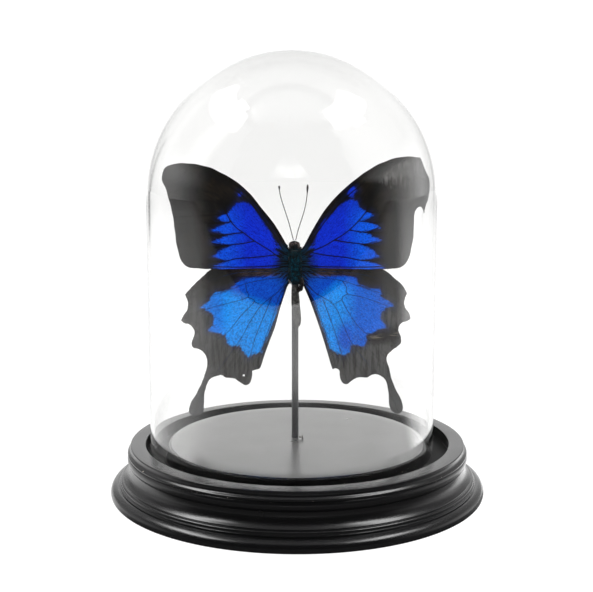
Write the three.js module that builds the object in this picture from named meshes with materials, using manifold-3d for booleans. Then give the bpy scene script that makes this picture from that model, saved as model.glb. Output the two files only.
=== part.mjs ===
// A mounted swallowtail butterfly on a rod, under a glass dome that stands in the groove of a turned
// wooden base. Millimetres, +Z up, the butterfly's upper side towards -Y. The base's axis is the Z axis.
import * as THREE from 'three';
import { mergeVertices } from 'three/addons/utils/BufferGeometryUtils.js';
import Module from 'manifold-3d';

const wasm = await Module();
wasm.setup();

// ---------------------------------------------------------------- driving dimensions

const turned = { segments: 48, curveSteps: 3 };

const base = {
  height: 21,
  footRadius: 79.2,
  rimOuter: 70.7,
  rimInner: 64.3,
  grooveFloor: 16.5,
  plateauRadius: 55,
  plateauTop: 21.5,
};

const dome = {
  outerRadius: 60,
  wall: 1.6,
  centreX: -2.3,
  hemisphereCentre: 125.1,
  arcSteps: 8,
};

const rod = { x: -0.9, y: 0.7, radius: 1.45, top: 98.5 };

const nail = { x: 0.4, y: -2.6, length: 2.1, shank: 0.35, headRadius: 0.95, headThickness: 0.45 };

// The insect's long axis stands upright at x, and its wings turn about the thorax at height z.
const insect = { x: -0.9, y: -4.3, z: 95 };

const wing = { thickness: 0.3, backwardTurn: THREE.MathUtils.degToRad(2.5), pointSpacing: 1.9 };
const forewingY = -5;
const hindwingY = -4.4;

// ---------------------------------------------------------------- materials

function finish(name, color, roughness, extra = {}) {
  return new THREE.MeshStandardMaterial({ name, color, roughness, metalness: 0, ...extra });
}

const blackPaint = () => finish('black_paint', 0x17171a, 0.45);
const clearGlass = () => finish('clear_glass', 0xf4f8f8, 0.02, { transparent: true, opacity: 0.18 });
const blackSteel = () => finish('black_steel', 0x2b2b2e, 0.5, { metalness: 0.4 });
const darkChitin = () => finish('dark_chitin', 0x14110f, 0.6);
const blueScales = () => finish('blue_scales', 0x0a3fdc, 0.5);
const azureScales = () => finish('azure_scales', 0x1673ea, 0.5);

// ---------------------------------------------------------------- geometry helpers

/** Keeps position only and merges shared vertices, so that the mesh is closed. */
function closed(geometry) {
  const bare = geometry.clone();
  bare.deleteAttribute('normal');
  bare.deleteAttribute('uv');
  return mergeVertices(bare, 1e-4);
}

/** Joins closed geometries that overlap into one closed geometry. */
function join(...geometries) {
  const solids = geometries.map((geometry) => {
    const shape = closed(geometry);
    return new wasm.Manifold(new wasm.Mesh({
      numProp: 3,
      vertProperties: Float32Array.from(shape.attributes.position.array),
      triVerts: Uint32Array.from(shape.index.array),
    }));
  });
  const joined = solids.reduce((all, solid) => all.add(solid)).getMesh();
  const geometry = new THREE.BufferGeometry();
  geometry.setAttribute('position', new THREE.BufferAttribute(joined.vertProperties, 3));
  geometry.setIndex(new THREE.BufferAttribute(joined.triVerts, 1));
  return geometry;
}

/** Turns a profile of [radius, height] points about the Z axis. */
function lathe(points, segments) {
  const profile = points.map(([radius, height]) => new THREE.Vector2(radius, height));
  return new THREE.LatheGeometry(profile, segments).rotateX(Math.PI / 2);
}

/** A tube of round section through points, with flat closed ends. */
function tube(points, radius, steps, sides) {
  const section = new THREE.Shape().absarc(0, 0, radius, 0, 2 * Math.PI);
  const path = new THREE.CatmullRomCurve3(points.map((point) => new THREE.Vector3(...point)));
  return new THREE.ExtrudeGeometry(section, { steps, curveSegments: sides, extrudePath: path });
}

/** An ellipsoid given by its half sizes along X, Y and Z. */
function ellipsoid(halfX, halfY, halfZ, around, along) {
  return new THREE.SphereGeometry(1, around, along).rotateX(Math.PI / 2).scale(halfX, halfY, halfZ);
}

const object = new THREE.Group();

/** Adds one named piece to the object. */
function add(name, geometry, material) {
  const mesh = new THREE.Mesh(closed(geometry), material);
  mesh.name = name;
  object.add(mesh);
  return mesh;
}

// ---------------------------------------------------------------- turned base

/** Half section of the base, from the middle of its underside out, up and back in to its axis. */
function baseProfile() {
  const { height, footRadius, rimOuter, rimInner, grooveFloor, plateauRadius, plateauTop } = base;
  const line = new THREE.Path();
  line.moveTo(0, 0);
  line.lineTo(footRadius - 1.2, 0);
  line.quadraticCurveTo(footRadius, 0.1, footRadius, 1.3);
  line.quadraticCurveTo(footRadius, 3.6, 76.9, 4.6);
  line.lineTo(75.6, 4.9);
  line.lineTo(75.4, 5.7);
  line.quadraticCurveTo(75.1, 6.8, 74, 7.1);
  line.lineTo(73.6, 7.5);
  line.bezierCurveTo(71.8, 8.7, 71, 10.4, 71, 13.1);
  line.lineTo(71.3, 13.5);
  line.quadraticCurveTo(72.5, 15.2, 71.6, 17);
  line.quadraticCurveTo(72.4, 17.7, 71.6, 18.4);
  line.quadraticCurveTo(70.4, 19, rimOuter, 20.4);
  line.quadraticCurveTo(rimOuter, height, rimOuter - 0.6, height);
  line.lineTo(rimInner + 0.4, height);
  line.lineTo(rimInner, height - 0.4);
  line.lineTo(rimInner, grooveFloor);
  line.lineTo(plateauRadius, grooveFloor);
  line.lineTo(plateauRadius, plateauTop - 1.3);
  line.quadraticCurveTo(plateauRadius - 0.2, plateauTop - 0.6, plateauRadius - 1.8, plateauTop - 0.4);
  line.quadraticCurveTo(plateauRadius - 4.5, plateauTop, plateauRadius - 9, plateauTop);
  line.lineTo(0, plateauTop);
  return line.getPoints(turned.curveSteps).map(({ x, y }) => [x, y]);
}

add('wooden_base', lathe(baseProfile(), turned.segments), blackPaint());

// ---------------------------------------------------------------- glass dome

/** Half section of the dome: down the inside from its top, round the lip and up the outside. */
function domeProfile() {
  const { outerRadius, wall, hemisphereCentre, arcSteps } = dome;
  const innerRadius = outerRadius - wall;
  const lip = wall / 2;
  const quarter = (radius) => Array.from({ length: arcSteps + 1 }, (_, step) => {
    const angle = (step / arcSteps) * (Math.PI / 2);
    const onAxis = step === 0;
    return [onAxis ? 0 : radius * Math.sin(angle), hemisphereCentre + radius * Math.cos(angle)];
  });
  return [
    ...quarter(innerRadius),
    [innerRadius, base.grooveFloor + lip / 2],
    [innerRadius + lip / 2, base.grooveFloor],
    [outerRadius - lip / 2, base.grooveFloor],
    [outerRadius, base.grooveFloor + lip / 2],
    ...quarter(outerRadius).reverse(),
  ];
}

add('glass_dome', lathe(domeProfile(), turned.segments).translate(dome.centreX, 0, 0), clearGlass());

// ---------------------------------------------------------------- rod and loose nail

function rodShape() {
  const tipRounding = 0.4;
  const length = rod.top - base.plateauTop;
  return lathe([
    [0, 0],
    [rod.radius, 0],
    [rod.radius, length - tipRounding],
    [rod.radius - tipRounding, length],
    [0, length],
  ], 16);
}

add('rod', rodShape().translate(rod.x, rod.y, base.plateauTop), blackSteel());

function nailShape() {
  const { length, shank, headRadius, headThickness } = nail;
  return lathe([
    [0, 0],
    [shank, 0.5],
    [shank, length - headThickness],
    [headRadius, length - headThickness],
    [headRadius, length],
    [0, length],
  ], 12);
}

const layDown = nailShape().rotateY(Math.PI / 2);
const nailGap = 0.05;
add('loose_nail', layDown.translate(nail.x, nail.y, base.plateauTop + nail.headRadius + nailGap), blackSteel());

// ---------------------------------------------------------------- body of the insect

const { x: axisX, y: axisY, z: rootZ } = insect;

function headShape() {
  const skull = ellipsoid(1.75, 1.6, 1.85, 12, 8);
  const eye = (side) => ellipsoid(0.95, 1.1, 1.15, 10, 6).translate(side * 1.2, 0.1, 0.2);
  return join(skull, eye(-1), eye(1));
}

add('head', headShape().translate(axisX - 0.3, axisY, rootZ + 9.6), darkChitin());

/** A barrel, a little deeper than wide. */
function thoraxShape() {
  const depthToWidth = 1.18;
  return lathe([
    [0, -6.5], [1.5, -6.1], [2.3, -4.6], [2.6, -1.5], [2.65, 2], [2.65, 4.8], [2.6, 6.4], [2.2, 7.3], [0, 7.5],
  ], 14).scale(1, depthToWidth, 1);
}

add('thorax', thoraxShape().translate(axisX, axisY, rootZ + 0.2), darkChitin());

/** A tapered body that leans back to the rod and swings a little to the right towards its tip. */
function abdomenShape() {
  const length = 18.2;
  const shape = lathe([
    [0, -length], [0.7, -17.9], [1.4, -16.2], [1.75, -13], [1.7, -10], [1.6, -6], [1.45, -2], [0.9, -0.4], [0, 0],
  ], 12);
  const places = shape.attributes.position;
  for (let index = 0; index < places.count; index += 1) {
    const down = -places.getZ(index) / length;
    places.setX(index, places.getX(index) + 1.3 * down * down);
    places.setY(index, places.getY(index) + 0.9 * Math.sqrt(Math.max(down, 0)));
  }
  return shape;
}

add('abdomen', abdomenShape().translate(axisX, axisY + 0.3, rootZ - 6.6), darkChitin());

// ---------------------------------------------------------------- antennae

/** A thread from the head to a slim club at its end. */
function antennaShape(points) {
  const [beforeEnd, end] = points.slice(-2).map((point) => new THREE.Vector3(...point));
  const thread = tube(points, 0.2, 10, 5);
  const along = end.clone().sub(beforeEnd).normalize();
  const club = ellipsoid(0.42, 0.42, 1.9, 6, 6);
  club.applyQuaternion(new THREE.Quaternion().setFromUnitVectors(new THREE.Vector3(0, 0, 1), along));
  club.translate(end.x - along.x, end.y - along.y, end.z - along.z);
  return join(thread, club);
}

const antennaY = axisY - 0.9;
add('antenna_left', antennaShape([
  [-1.6, antennaY, 106.9], [-3.5, antennaY - 0.4, 114.2], [-6.3, antennaY - 0.4, 122.9],
  [-7.2, antennaY - 0.2, 126.6], [-7.4, antennaY, 128.6],
]), darkChitin());
add('antenna_right', antennaShape([
  [-0.6, antennaY, 106.9], [0.4, antennaY - 0.4, 111], [2.9, antennaY - 0.4, 119],
  [3.9, antennaY - 0.2, 124.2], [4.3, antennaY, 129],
]), darkChitin());

// ---------------------------------------------------------------- legs

/** A folded leg: out from the thorax, down to the knee and back up along the body. */
function legShape(points, radius) {
  return tube(points, radius, 7, 5);
}

// The right hind leg is folded into a thick, hairy loop that stands out beside the abdomen.
const legRadius = 0.34;
const loopRadius = 0.52;
const legs = {
  leg_front_left: [[-3.7, -2.2, 99.6], [-4.3, -0.8, 98.2], [-4.1, 0.2, 95.6], [-3.4, 0.8, 98.4]],
  leg_middle_left: [[-3.9, -2, 96.2], [-4.5, -0.6, 93.8], [-4, 0.4, 91.2], [-3.3, 0.9, 94.2]],
  leg_hind_left: [[-3.6, -1.9, 92], [-4, -1, 89.8], [-3.6, -0.2, 88], [-3.2, 0.6, 90.6]],
  leg_front_right: [[1.9, -2.2, 99.6], [2.5, -0.8, 98.2], [2.3, 0.2, 95.6], [1.6, 0.8, 98.4]],
  leg_middle_right: [[2.1, -2, 96.2], [2.7, -0.6, 93.8], [2.2, 0.4, 91.2], [1.5, 0.9, 94.2]],
  leg_hind_right: [[1.85, -5.2, 91], [2.25, -5.25, 89], [2.05, -5.25, 86.7], [0.8, -5, 85.9]],
};
for (const [name, points] of Object.entries(legs)) {
  add(name, legShape(points, name === 'leg_hind_right' ? loopRadius : legRadius), darkChitin());
}

// ---------------------------------------------------------------- wings

// An outline is a closed chain of runs. Each run is a smooth curve through its points, and runs meet at
// corners. A point is [out from the insect's axis, up from the wing root].

const forewingLeft = [
  [
    [2.8, 8.7], [8.3, 18], [14.1, 25.3], [18.5, 30.8], [24.3, 35.9], [30.1, 39.2], [34.5, 41.3], [40.3, 42.7],
    [45.4, 43.2], [50.4, 42.8], [53.5, 41.4], [54.9, 39.1], [55.1, 36.2], [53.5, 32.4], [52.3, 28], [51, 23],
    [50.2, 17.2], [49.5, 10.6], [48.3, 5.4], [46.8, 2], [44.8, 0.4], [40.9, -0.2], [36.4, -0.4], [26.8, -0.4],
    [15.7, 0], [8.3, 0.2], [2.8, 1],
  ],
];

// The tip of the right forewing has a torn notch in its outer margin.
const forewingRight = [
  [
    [2.8, 7.7], [7.5, 16.5], [12.6, 24.6], [19.2, 31.9], [27.1, 38.4], [34.4, 42.8], [41.7, 45.4], [46.7, 45.9],
    [51.7, 45.6],
  ],
  [[51.7, 45.6], [53.3, 41.8], [54.8, 38.8], [56, 36.3], [56.2, 33.8], [55.9, 31.2], [55.4, 27.9], [54.5, 26]],
  [[54.5, 26], [54.1, 24.7], [53.7, 22.5]],
  [[53.7, 22.5], [53.1, 24.6], [52.3, 25.3]],
  [[52.3, 25.3], [51.7, 24.6], [50.9, 25], [49.9, 23.4], [49.4, 20.4], [49.4, 15.1], [49, 10.9], [47.8, 5.4],
    [46.3, 2], [43.3, 0.1], [39.3, -0.4], [27, -0.4], [15, 0], [2.8, 0.6]],
];

const hindwingLeft = [
  [[2.8, 2], [14, 2.6], [26, 2], [34, 0], [38.9, -4], [42.6, -7.4], [46.2, -11.4]],
  [[46.2, -11.4], [45.3, -13.2], [45.1, -17.1], [46.9, -20.2], [48.1, -22.3]],
  [[48.1, -22.3], [47.1, -23.4], [44.4, -24], [42.6, -26.2], [42.6, -28.9], [43.7, -31.9], [43.3, -33.8],
    [40, -34.7], [38.1, -36.7], [37, -39.7], [37.7, -43.8], [39.6, -49.1], [42, -53.8], [44.3, -57.7],
    [45.3, -60.8], [44.6, -62.9], [41.8, -63.4], [39.5, -62.3], [38.8, -59.2], [38.6, -54.6], [37.1, -49.1],
    [34.8, -46.5], [31, -45.5], [28.8, -46.9], [26.5, -46.6], [23.5, -48.4], [21.3, -49.8], [19.2, -49],
    [18.2, -46.1], [18.1, -43.6]],
  [[18.1, -43.6], [16.9, -42.9], [15.6, -43.3], [14.4, -41.5], [12.9, -36.9], [10.7, -30.8], [8.4, -24.7],
    [6.1, -16.4], [3.9, -9.6], [2.7, -6]],
];

const hindwingRight = [
  [[2.8, 2], [14, 2.6], [26, 2], [35, 0.4], [42.4, -5.1], [45.8, -8.5], [46.9, -11.1]],
  [[46.9, -11.1], [46, -13.4], [46.1, -16.4], [48.1, -19.4], [48.8, -21.4], [47.2, -22.6], [44.8, -23.5],
    [43.4, -25.9], [44.6, -29.3], [44.5, -32.2], [41.8, -34.4]],
  [[41.8, -34.4], [38.7, -37.6], [39.8, -43], [41.5, -49.1], [43.8, -53.8], [45.6, -57.7], [46, -60.9],
    [44, -62.6], [41.3, -61.5], [40.1, -58.5], [39.5, -52.3], [38.5, -48.4], [36.2, -45.8], [33.2, -45.1],
    [30.2, -46.6], [27.2, -46.3], [24.2, -47.7], [21.9, -49.4], [19.7, -48.4], [18.8, -45.3], [18.7, -43.6]],
  [[18.7, -43.6], [17.5, -42.5], [16, -43.2], [14.8, -39.9], [12.1, -30.8], [9.1, -21.7], [6.1, -13.4],
    [3.5, -7.4], [2.7, -5.7]],
];

/** The outline's points, evenly spaced along each run. */
function outlinePoints(runs) {
  return runs.flatMap((run) => {
    const curve = new THREE.SplineCurve(run.map(([out, up]) => new THREE.Vector2(out, up)));
    const pieces = Math.max(1, Math.round(curve.getLength() / wing.pointSpacing));
    return curve.getSpacedPoints(pieces).slice(0, -1).concat(run === runs.at(-1) ? curve.getPoint(1) : []);
  });
}

/** A flat wing that stands upright in a plane turned a little back from the XZ plane. */
function wingShape(runs, side, y) {
  const flat = new THREE.ExtrudeGeometry(new THREE.Shape(outlinePoints(runs)), {
    depth: wing.thickness,
    bevelEnabled: false,
    steps: 1,
  });
  flat.translate(0, 0, -wing.thickness / 2);
  flat.rotateX(Math.PI / 2).rotateZ(wing.backwardTurn);
  if (side < 0) {
    mirrorX(flat);
  }
  return flat.translate(axisX, y, rootZ);
}

/** Mirrors in the YZ plane and keeps the faces outward. */
function mirrorX(geometry) {
  geometry.scale(-1, 1, 1);
  const places = geometry.attributes.position;
  for (let corner = 0; corner < places.count; corner += 3) {
    const first = new THREE.Vector3().fromBufferAttribute(places, corner);
    const second = new THREE.Vector3().fromBufferAttribute(places, corner + 1);
    places.setXYZ(corner, second.x, second.y, second.z);
    places.setXYZ(corner + 1, first.x, first.y, first.z);
  }
}

add('forewing_left', wingShape(forewingLeft, -1, forewingY), blueScales());
add('forewing_right', wingShape(forewingRight, 1, forewingY), blueScales());
add('hindwing_left', wingShape(hindwingLeft, -1, hindwingY), azureScales());
add('hindwing_right', wingShape(hindwingRight, 1, hindwingY), azureScales());

export default object;
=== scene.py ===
"""A swallowtail butterfly mounted on a rod, under a glass dome that stands in a turned wooden base.

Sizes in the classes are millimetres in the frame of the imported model. Meshes are written in metres.
The butterfly stands upright with its upper side towards -Y.
"""

from __future__ import annotations

import logging
import math
from collections.abc import Callable, Sequence
from dataclasses import dataclass, field
from enum import Enum

import bpy
import numpy as np
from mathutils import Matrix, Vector
from mathutils.geometry import delaunay_2d_cdt

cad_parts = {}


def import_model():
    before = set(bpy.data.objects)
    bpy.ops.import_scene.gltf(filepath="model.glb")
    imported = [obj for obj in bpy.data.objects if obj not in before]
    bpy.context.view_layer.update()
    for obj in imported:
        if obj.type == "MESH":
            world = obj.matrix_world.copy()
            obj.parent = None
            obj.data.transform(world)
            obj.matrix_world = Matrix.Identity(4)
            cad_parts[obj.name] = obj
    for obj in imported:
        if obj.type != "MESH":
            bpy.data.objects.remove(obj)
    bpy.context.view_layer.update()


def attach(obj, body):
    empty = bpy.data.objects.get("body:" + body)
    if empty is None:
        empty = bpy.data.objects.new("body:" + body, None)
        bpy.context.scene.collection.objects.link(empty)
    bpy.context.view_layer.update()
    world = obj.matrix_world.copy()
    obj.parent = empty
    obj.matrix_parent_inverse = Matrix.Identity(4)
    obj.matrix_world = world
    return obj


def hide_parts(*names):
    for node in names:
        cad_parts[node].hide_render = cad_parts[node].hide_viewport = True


LOG = logging.getLogger("dome")
Piece = bpy.types.Object
Socket = bpy.types.NodeSocket
Shape = tuple[np.ndarray, list[tuple[int, ...]]]

MM = 0.001
DEGREES = 180.0 / math.pi
WHITE = (1.0, 1.0, 1.0, 1.0)

Point2 = tuple[float, float]
Point3 = tuple[float, float, float]
Colour = tuple[float, float, float]


# ---- Node trees


class Graph:
    """Writes a node tree with short calls: every value given to a call may be a number or a socket."""

    def __init__(self, tree: bpy.types.NodeTree) -> None:
        """Keeps the tree that the calls write to.

        Args:
            tree: A shader or geometry node tree.
        """
        self.tree = tree

    def node(self, kind: str, inputs: dict | None = None, **settings: object) -> bpy.types.Node:
        """Adds a node.

        Args:
            kind: The node's type name.
            inputs: Values or sockets by input name or number.
            settings: Properties of the node.

        Returns:
            The new node.
        """
        made = self.tree.nodes.new(kind)
        for key, value in settings.items():
            setattr(made, key, value)
        for key, value in (inputs or {}).items():
            if isinstance(value, Socket):
                self.tree.links.new(value, made.inputs[key])
            else:
                made.inputs[key].default_value = value
        return made

    def math(self, kind: str, *values: object) -> Socket:
        """Returns the result of a Math node on one to three values."""
        return self.node("ShaderNodeMath", dict(enumerate(values)), operation=kind).outputs[0]

    def times(self, first: object, *others: object) -> Socket:
        """Returns the product of two or more values."""
        for value in others:
            first = self.math("MULTIPLY", first, value)
        return first

    def plus(self, first: object, second: object) -> Socket:
        """Returns the sum of two values."""
        return self.math("ADD", first, second)

    def minus(self, first: object, second: object) -> Socket:
        """Returns the first value less the second."""
        return self.math("SUBTRACT", first, second)

    def scaled(self, value: object, factor: object, offset: object) -> Socket:
        """Returns value times factor, plus offset."""
        return self.math("MULTIPLY_ADD", value, factor, offset)

    def between(self, share: object, first: object, second: object) -> Socket:
        """Returns a number between two numbers: the first where share is 0 and the second where it is 1."""
        return self.scaled(share, self.minus(second, first), first)

    def absolute(self, value: object) -> Socket:
        """Returns the value without its sign."""
        return self.math("ABSOLUTE", value)

    def length(self, x: object, y: object) -> Socket:
        """Returns the length of a flat vector."""
        return self.math("POWER", self.plus(self.times(x, x), self.times(y, y)), 0.5)

    def bearing(self, x: object, y: object) -> Socket:
        """Returns the angle round Z in degrees: 0 towards -Y, and positive towards +X."""
        return self.times(self.math("ARCTAN2", x, self.times(y, -1.0)), DEGREES)

    def vector_math(self, kind: str, *values: object) -> Socket:
        """Returns the vector result of a Vector Math node."""
        return self.node("ShaderNodeVectorMath", dict(enumerate(values)), operation=kind).outputs[0]

    def rise(self, value: object, low: float, high: float) -> Socket:
        """Returns 0 where the value is under low, 1 where it is over high, and a smooth step between.

        Args:
            value: The socket to read.
            low: Where the step starts.
            high: Where the step ends. It may be lower than low, and then the step falls.
        """
        ends = {"Value": value, "From Min": min(low, high), "From Max": max(low, high)}
        step = self.node("ShaderNodeMapRange", ends, interpolation_type="SMOOTHSTEP").outputs[0]
        return self.minus(1.0, step) if high < low else step

    def mix(self, share: object, first: object, second: object) -> Socket:
        """Returns a colour between two colours.

        Args:
            share: 0 for the first colour and 1 for the second.
            first: A colour or a socket.
            second: A colour or a socket.
        """
        made = self.tree.nodes.new("ShaderNodeMix")
        made.data_type = "RGBA"
        for socket, value in zip((made.inputs[0], made.inputs[6], made.inputs[7]), (share, first, second)):
            if isinstance(value, Socket):
                self.tree.links.new(value, socket)
            elif isinstance(value, tuple):
                socket.default_value = (*value, 1.0)
            else:
                socket.default_value = value
        return made.outputs[2]

    def ridge(self, value: object, start: float, full: float, end: float, last: float) -> Socket:
        """Returns a number that rises from 0 at start to 1 at full, and falls from 1 at last to 0 at end."""
        return self.times(self.rise(value, start, full), self.rise(value, end, last))

    def window(self, value: object, low: float, high: float, soft: float) -> Socket:
        """Returns 1 between low and high and 0 outside, with steps of twice the soft distance."""
        return self.ridge(value, low - soft, low + soft, high + soft, high - soft)

    def noise(self, scale: float, detail: float = 2.0, place: object = None, rough: float = 0.5) -> Socket:
        """Returns a noise value around 0.5.

        Args:
            scale: Lumps per metre of Object coordinates, or per unit of place.
            detail: Octaves.
            place: A vector socket. Object coordinates if left out.
            rough: Weight of the finer octaves.
        """
        inputs = {"Vector": place or self.place(), "Scale": scale, "Detail": detail, "Roughness": rough}
        return self.node("ShaderNodeTexNoise", inputs).outputs[0]

    def place(self) -> Socket:
        """Returns Object coordinates."""
        return self.node("ShaderNodeTexCoord").outputs["Object"]

    def stored(self, name: str, kind: str = "FLOAT") -> Socket:
        """Returns what a geometry node tree reads from the vertices under a name."""
        return self.node("GeometryNodeInputNamedAttribute", {"Name": name}, data_type=kind).outputs[0]

    def stretched(self, vector: object, factor: object) -> Socket:
        """Returns the vector times the factor."""
        return self.node("ShaderNodeVectorMath", {0: vector, "Scale": factor}, operation="SCALE").outputs[0]

    def axes(self, vector: object = None) -> Sequence[Socket]:
        """Returns X, Y and Z of a vector, or of Object coordinates if it is left out."""
        return self.node("ShaderNodeSeparateXYZ", {0: vector or self.place()}).outputs

    def streaks(self, across: float, along: float, rough: float) -> Socket:
        """Returns noise with its own number of lumps for each metre along X (across) and along Z (along)."""
        x, _, z = self.axes()
        return self.noise(1.0, 3.0, self.combine(self.times(x, across), 0.0, self.times(z, along)), rough)

    def rays(self, across: float, along: float, layer: float = 0.0) -> Socket:
        """Returns noise drawn out along lines from a wing's root.

        Args:
            across: Lumps for each radian.
            along: Lumps for each millimetre.
            layer: Another number gives another pattern.
        """
        bearing, reach = self.attribute("bearing"), self.attribute("reach")
        place = self.combine(self.times(bearing, across), self.times(reach, along), layer)
        return self.noise(1.0, 3.0, place, 0.6)

    def attribute(self, name: str) -> Socket:
        """Returns a number stored on the mesh's vertices."""
        return self.node("ShaderNodeAttribute", attribute_name=name).outputs["Fac"]

    def combine(self, x: object, y: object, z: object) -> Socket:
        """Returns a vector made of three values."""
        return self.node("ShaderNodeCombineXYZ", {0: x, 1: y, 2: z}).outputs[0]

    def bump(self, height: object, strength: float, depth: float, under: object = None) -> Socket:
        """Returns a normal bent by a height.

        Args:
            height: The height, around 0 to 1.
            strength: Share of the bend.
            depth: Metres from height 0 to 1.
            under: A normal to start from.
        """
        inputs = {"Height": height, "Strength": strength, "Distance": depth}
        if under is not None:
            inputs["Normal"] = under
        return self.node("ShaderNodeBump", inputs).outputs[0]


def dimmed(colour: Colour, share: float) -> Colour:
    """Returns a share of a colour's light."""
    return tuple(share * part for part in colour)


@dataclass(frozen=True)
class Finish:
    """A named surface finish. Each kind of finish draws its own node tree."""

    name: str

    def draw(self, graph: Graph) -> dict:
        """Returns the inputs of the surface shader, by name."""
        raise NotImplementedError

    def material(self) -> bpy.types.Material:
        """Returns the finish's material, made once."""
        made = bpy.data.materials.get(self.name)
        if made is None:
            made = bpy.data.materials.new(self.name)
            made.use_nodes = True
            tree = made.node_tree
            tree.nodes.clear()
            graph = Graph(tree)
            shader = graph.node("ShaderNodeBsdfPrincipled", self.draw(graph))
            graph.node("ShaderNodeOutputMaterial", {"Surface": shader.outputs[0]})
        return made


@dataclass(frozen=True)
class BlackPaint(Finish):
    """Satin black paint on turned wood, with rings of the turning, a fine peel, dust and chips on the lip.

    The rings, the peel and the dust are on every face. Chips are only between the heights lip_low and
    lip_high.
    """

    name: str = "satin_black_paint"
    dark: Colour = (0.0016, 0.0016, 0.0018)
    light: Colour = (0.0032, 0.0032, 0.0035)
    roughness: float = 0.25
    ior: float = 1.5
    specular: float = 0.41
    relief: float = 1.5
    lip_low: float = 16.9 * MM
    lip_high: float = 18.7 * MM
    dust: Colour = (0.08, 0.08, 0.076)
    bare_wood: Colour = (0.17, 0.15, 0.13)

    def draw(self, graph: Graph) -> dict:
        """Returns the shader inputs of the paint."""
        x, y, z = graph.axes()
        radius = graph.length(x, y)
        rings = graph.noise(900.0, 2.0, graph.combine(radius, 0.0, z))
        around = graph.times(graph.math("ARCTAN2", y, x), 0.016)
        grain = graph.noise(700.0, 3.0, graph.combine(radius, around, z), 0.6)
        height = graph.plus(graph.times(rings, 0.4), graph.times(grain, 0.6))
        relief = graph.bump(height, 0.5 * self.relief, 0.00009)
        relief = graph.bump(graph.noise(1500.0, 1.0), 0.3 * self.relief, 0.00003, relief)
        low, high, soft = self.lip_low, self.lip_high, 0.3 * MM
        on_lip = graph.ridge(z, low, low + soft, high, high - soft)
        chips = graph.rise(graph.noise(520.0, 3.0, None, 0.65), 0.665, 0.70)
        paint = graph.mix(graph.noise(35.0, 3.0), self.dark, self.light)
        specks = graph.rise(graph.noise(2600.0, 2.0), 0.72, 0.76)
        paint = graph.mix(graph.times(specks, 0.2), paint, self.dust)
        colour = graph.mix(graph.times(on_lip, chips), paint, self.bare_wood)
        spread = graph.scaled(graph.noise(60.0, 3.0), 0.12, self.roughness - 0.06)
        return {"Base Color": colour, "Roughness": spread, "IOR": self.ior,
                "Specular IOR Level": self.specular, "Normal": relief}


@dataclass(frozen=True)
class ClearGlass(Finish):
    """Clear blown glass with the faintest waves in its wall."""

    name: str = "clear_blown_glass"

    def draw(self, graph: Graph) -> dict:
        """Returns the shader inputs of the glass."""
        waves = graph.bump(graph.noise(16.0, 1.0), 0.12, 0.0004)
        return {
            "Base Color": (0.998, 0.998, 0.993, 1.0),
            "Roughness": 0.0,
            "IOR": 1.5,
            "Transmission Weight": 1.0,
            "Normal": waves,
        }


@dataclass(frozen=True)
class Steel(Finish):
    """Steel under a thin black coat, or bare and dull."""

    name: str = "black_coated_steel"
    colour: Colour = (0.020, 0.020, 0.022)
    roughness: float = 0.42
    metallic: float = 0.0

    def draw(self, graph: Graph) -> dict:
        """Returns the shader inputs of the steel."""
        x, y, z = graph.axes()
        drawn = graph.noise(1800.0, 3.0, graph.combine(x, y, graph.times(z, 0.05)))
        relief = graph.bump(drawn, 0.2, 0.00005)
        shade = graph.mix(graph.noise(220.0, 3.0), self.colour, dimmed(self.colour, 0.6))
        spread = graph.scaled(drawn, 0.15, self.roughness - 0.07)
        return {"Base Color": shade, "Roughness": spread, "Metallic": self.metallic, "Normal": relief}


@dataclass(frozen=True)
class Chitin(Finish):
    """Dry shell of the head, body and legs, with fine scaling."""

    name: str = "dark_chitin"
    colour: Colour = (0.016, 0.013, 0.010)
    tint: Colour = (0.045, 0.034, 0.028)
    roughness: float = 0.42
    specular: float = 0.3

    def draw(self, graph: Graph) -> dict:
        """Returns the shader inputs of the shell."""
        relief = graph.bump(graph.noise(2600.0, 3.0), 0.5, 0.00008)
        shade = graph.mix(graph.rise(graph.noise(650.0, 3.0), 0.4, 0.65), self.colour, self.tint)
        return {"Base Color": shade, "Roughness": self.roughness, "Specular IOR Level": self.specular,
                "Normal": relief}


@dataclass(frozen=True)
class EyeFacets(Finish):
    """Compound eye: brown, glossy, with a net of facets."""

    name: str = "compound_eye"
    dark: Colour = (0.010, 0.007, 0.006)
    light: Colour = (0.060, 0.038, 0.034)

    def draw(self, graph: Graph) -> dict:
        """Returns the shader inputs of the eye."""
        cells = graph.node("ShaderNodeTexVoronoi", {"Vector": graph.place(), "Scale": 9000.0}).outputs[0]
        relief = graph.bump(cells, 0.5, 0.00004)
        shade = graph.mix(graph.rise(graph.noise(900.0, 2.0), 0.4, 0.65), self.dark, self.light)
        return {"Base Color": shade, "Roughness": 0.3, "Specular IOR Level": 0.3, "Normal": relief}


@dataclass(frozen=True)
class Hair(Finish):
    """Short body hair between two colours."""

    name: str
    dark: Colour
    light: Colour

    def draw(self, graph: Graph) -> dict:
        """Returns the shader inputs of the hair."""
        shade = graph.mix(graph.rise(graph.noise(900.0, 2.0), 0.38, 0.62), self.dark, self.light)
        return {"Base Color": shade, "Roughness": 0.6, "Specular IOR Level": 0.04}


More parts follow.
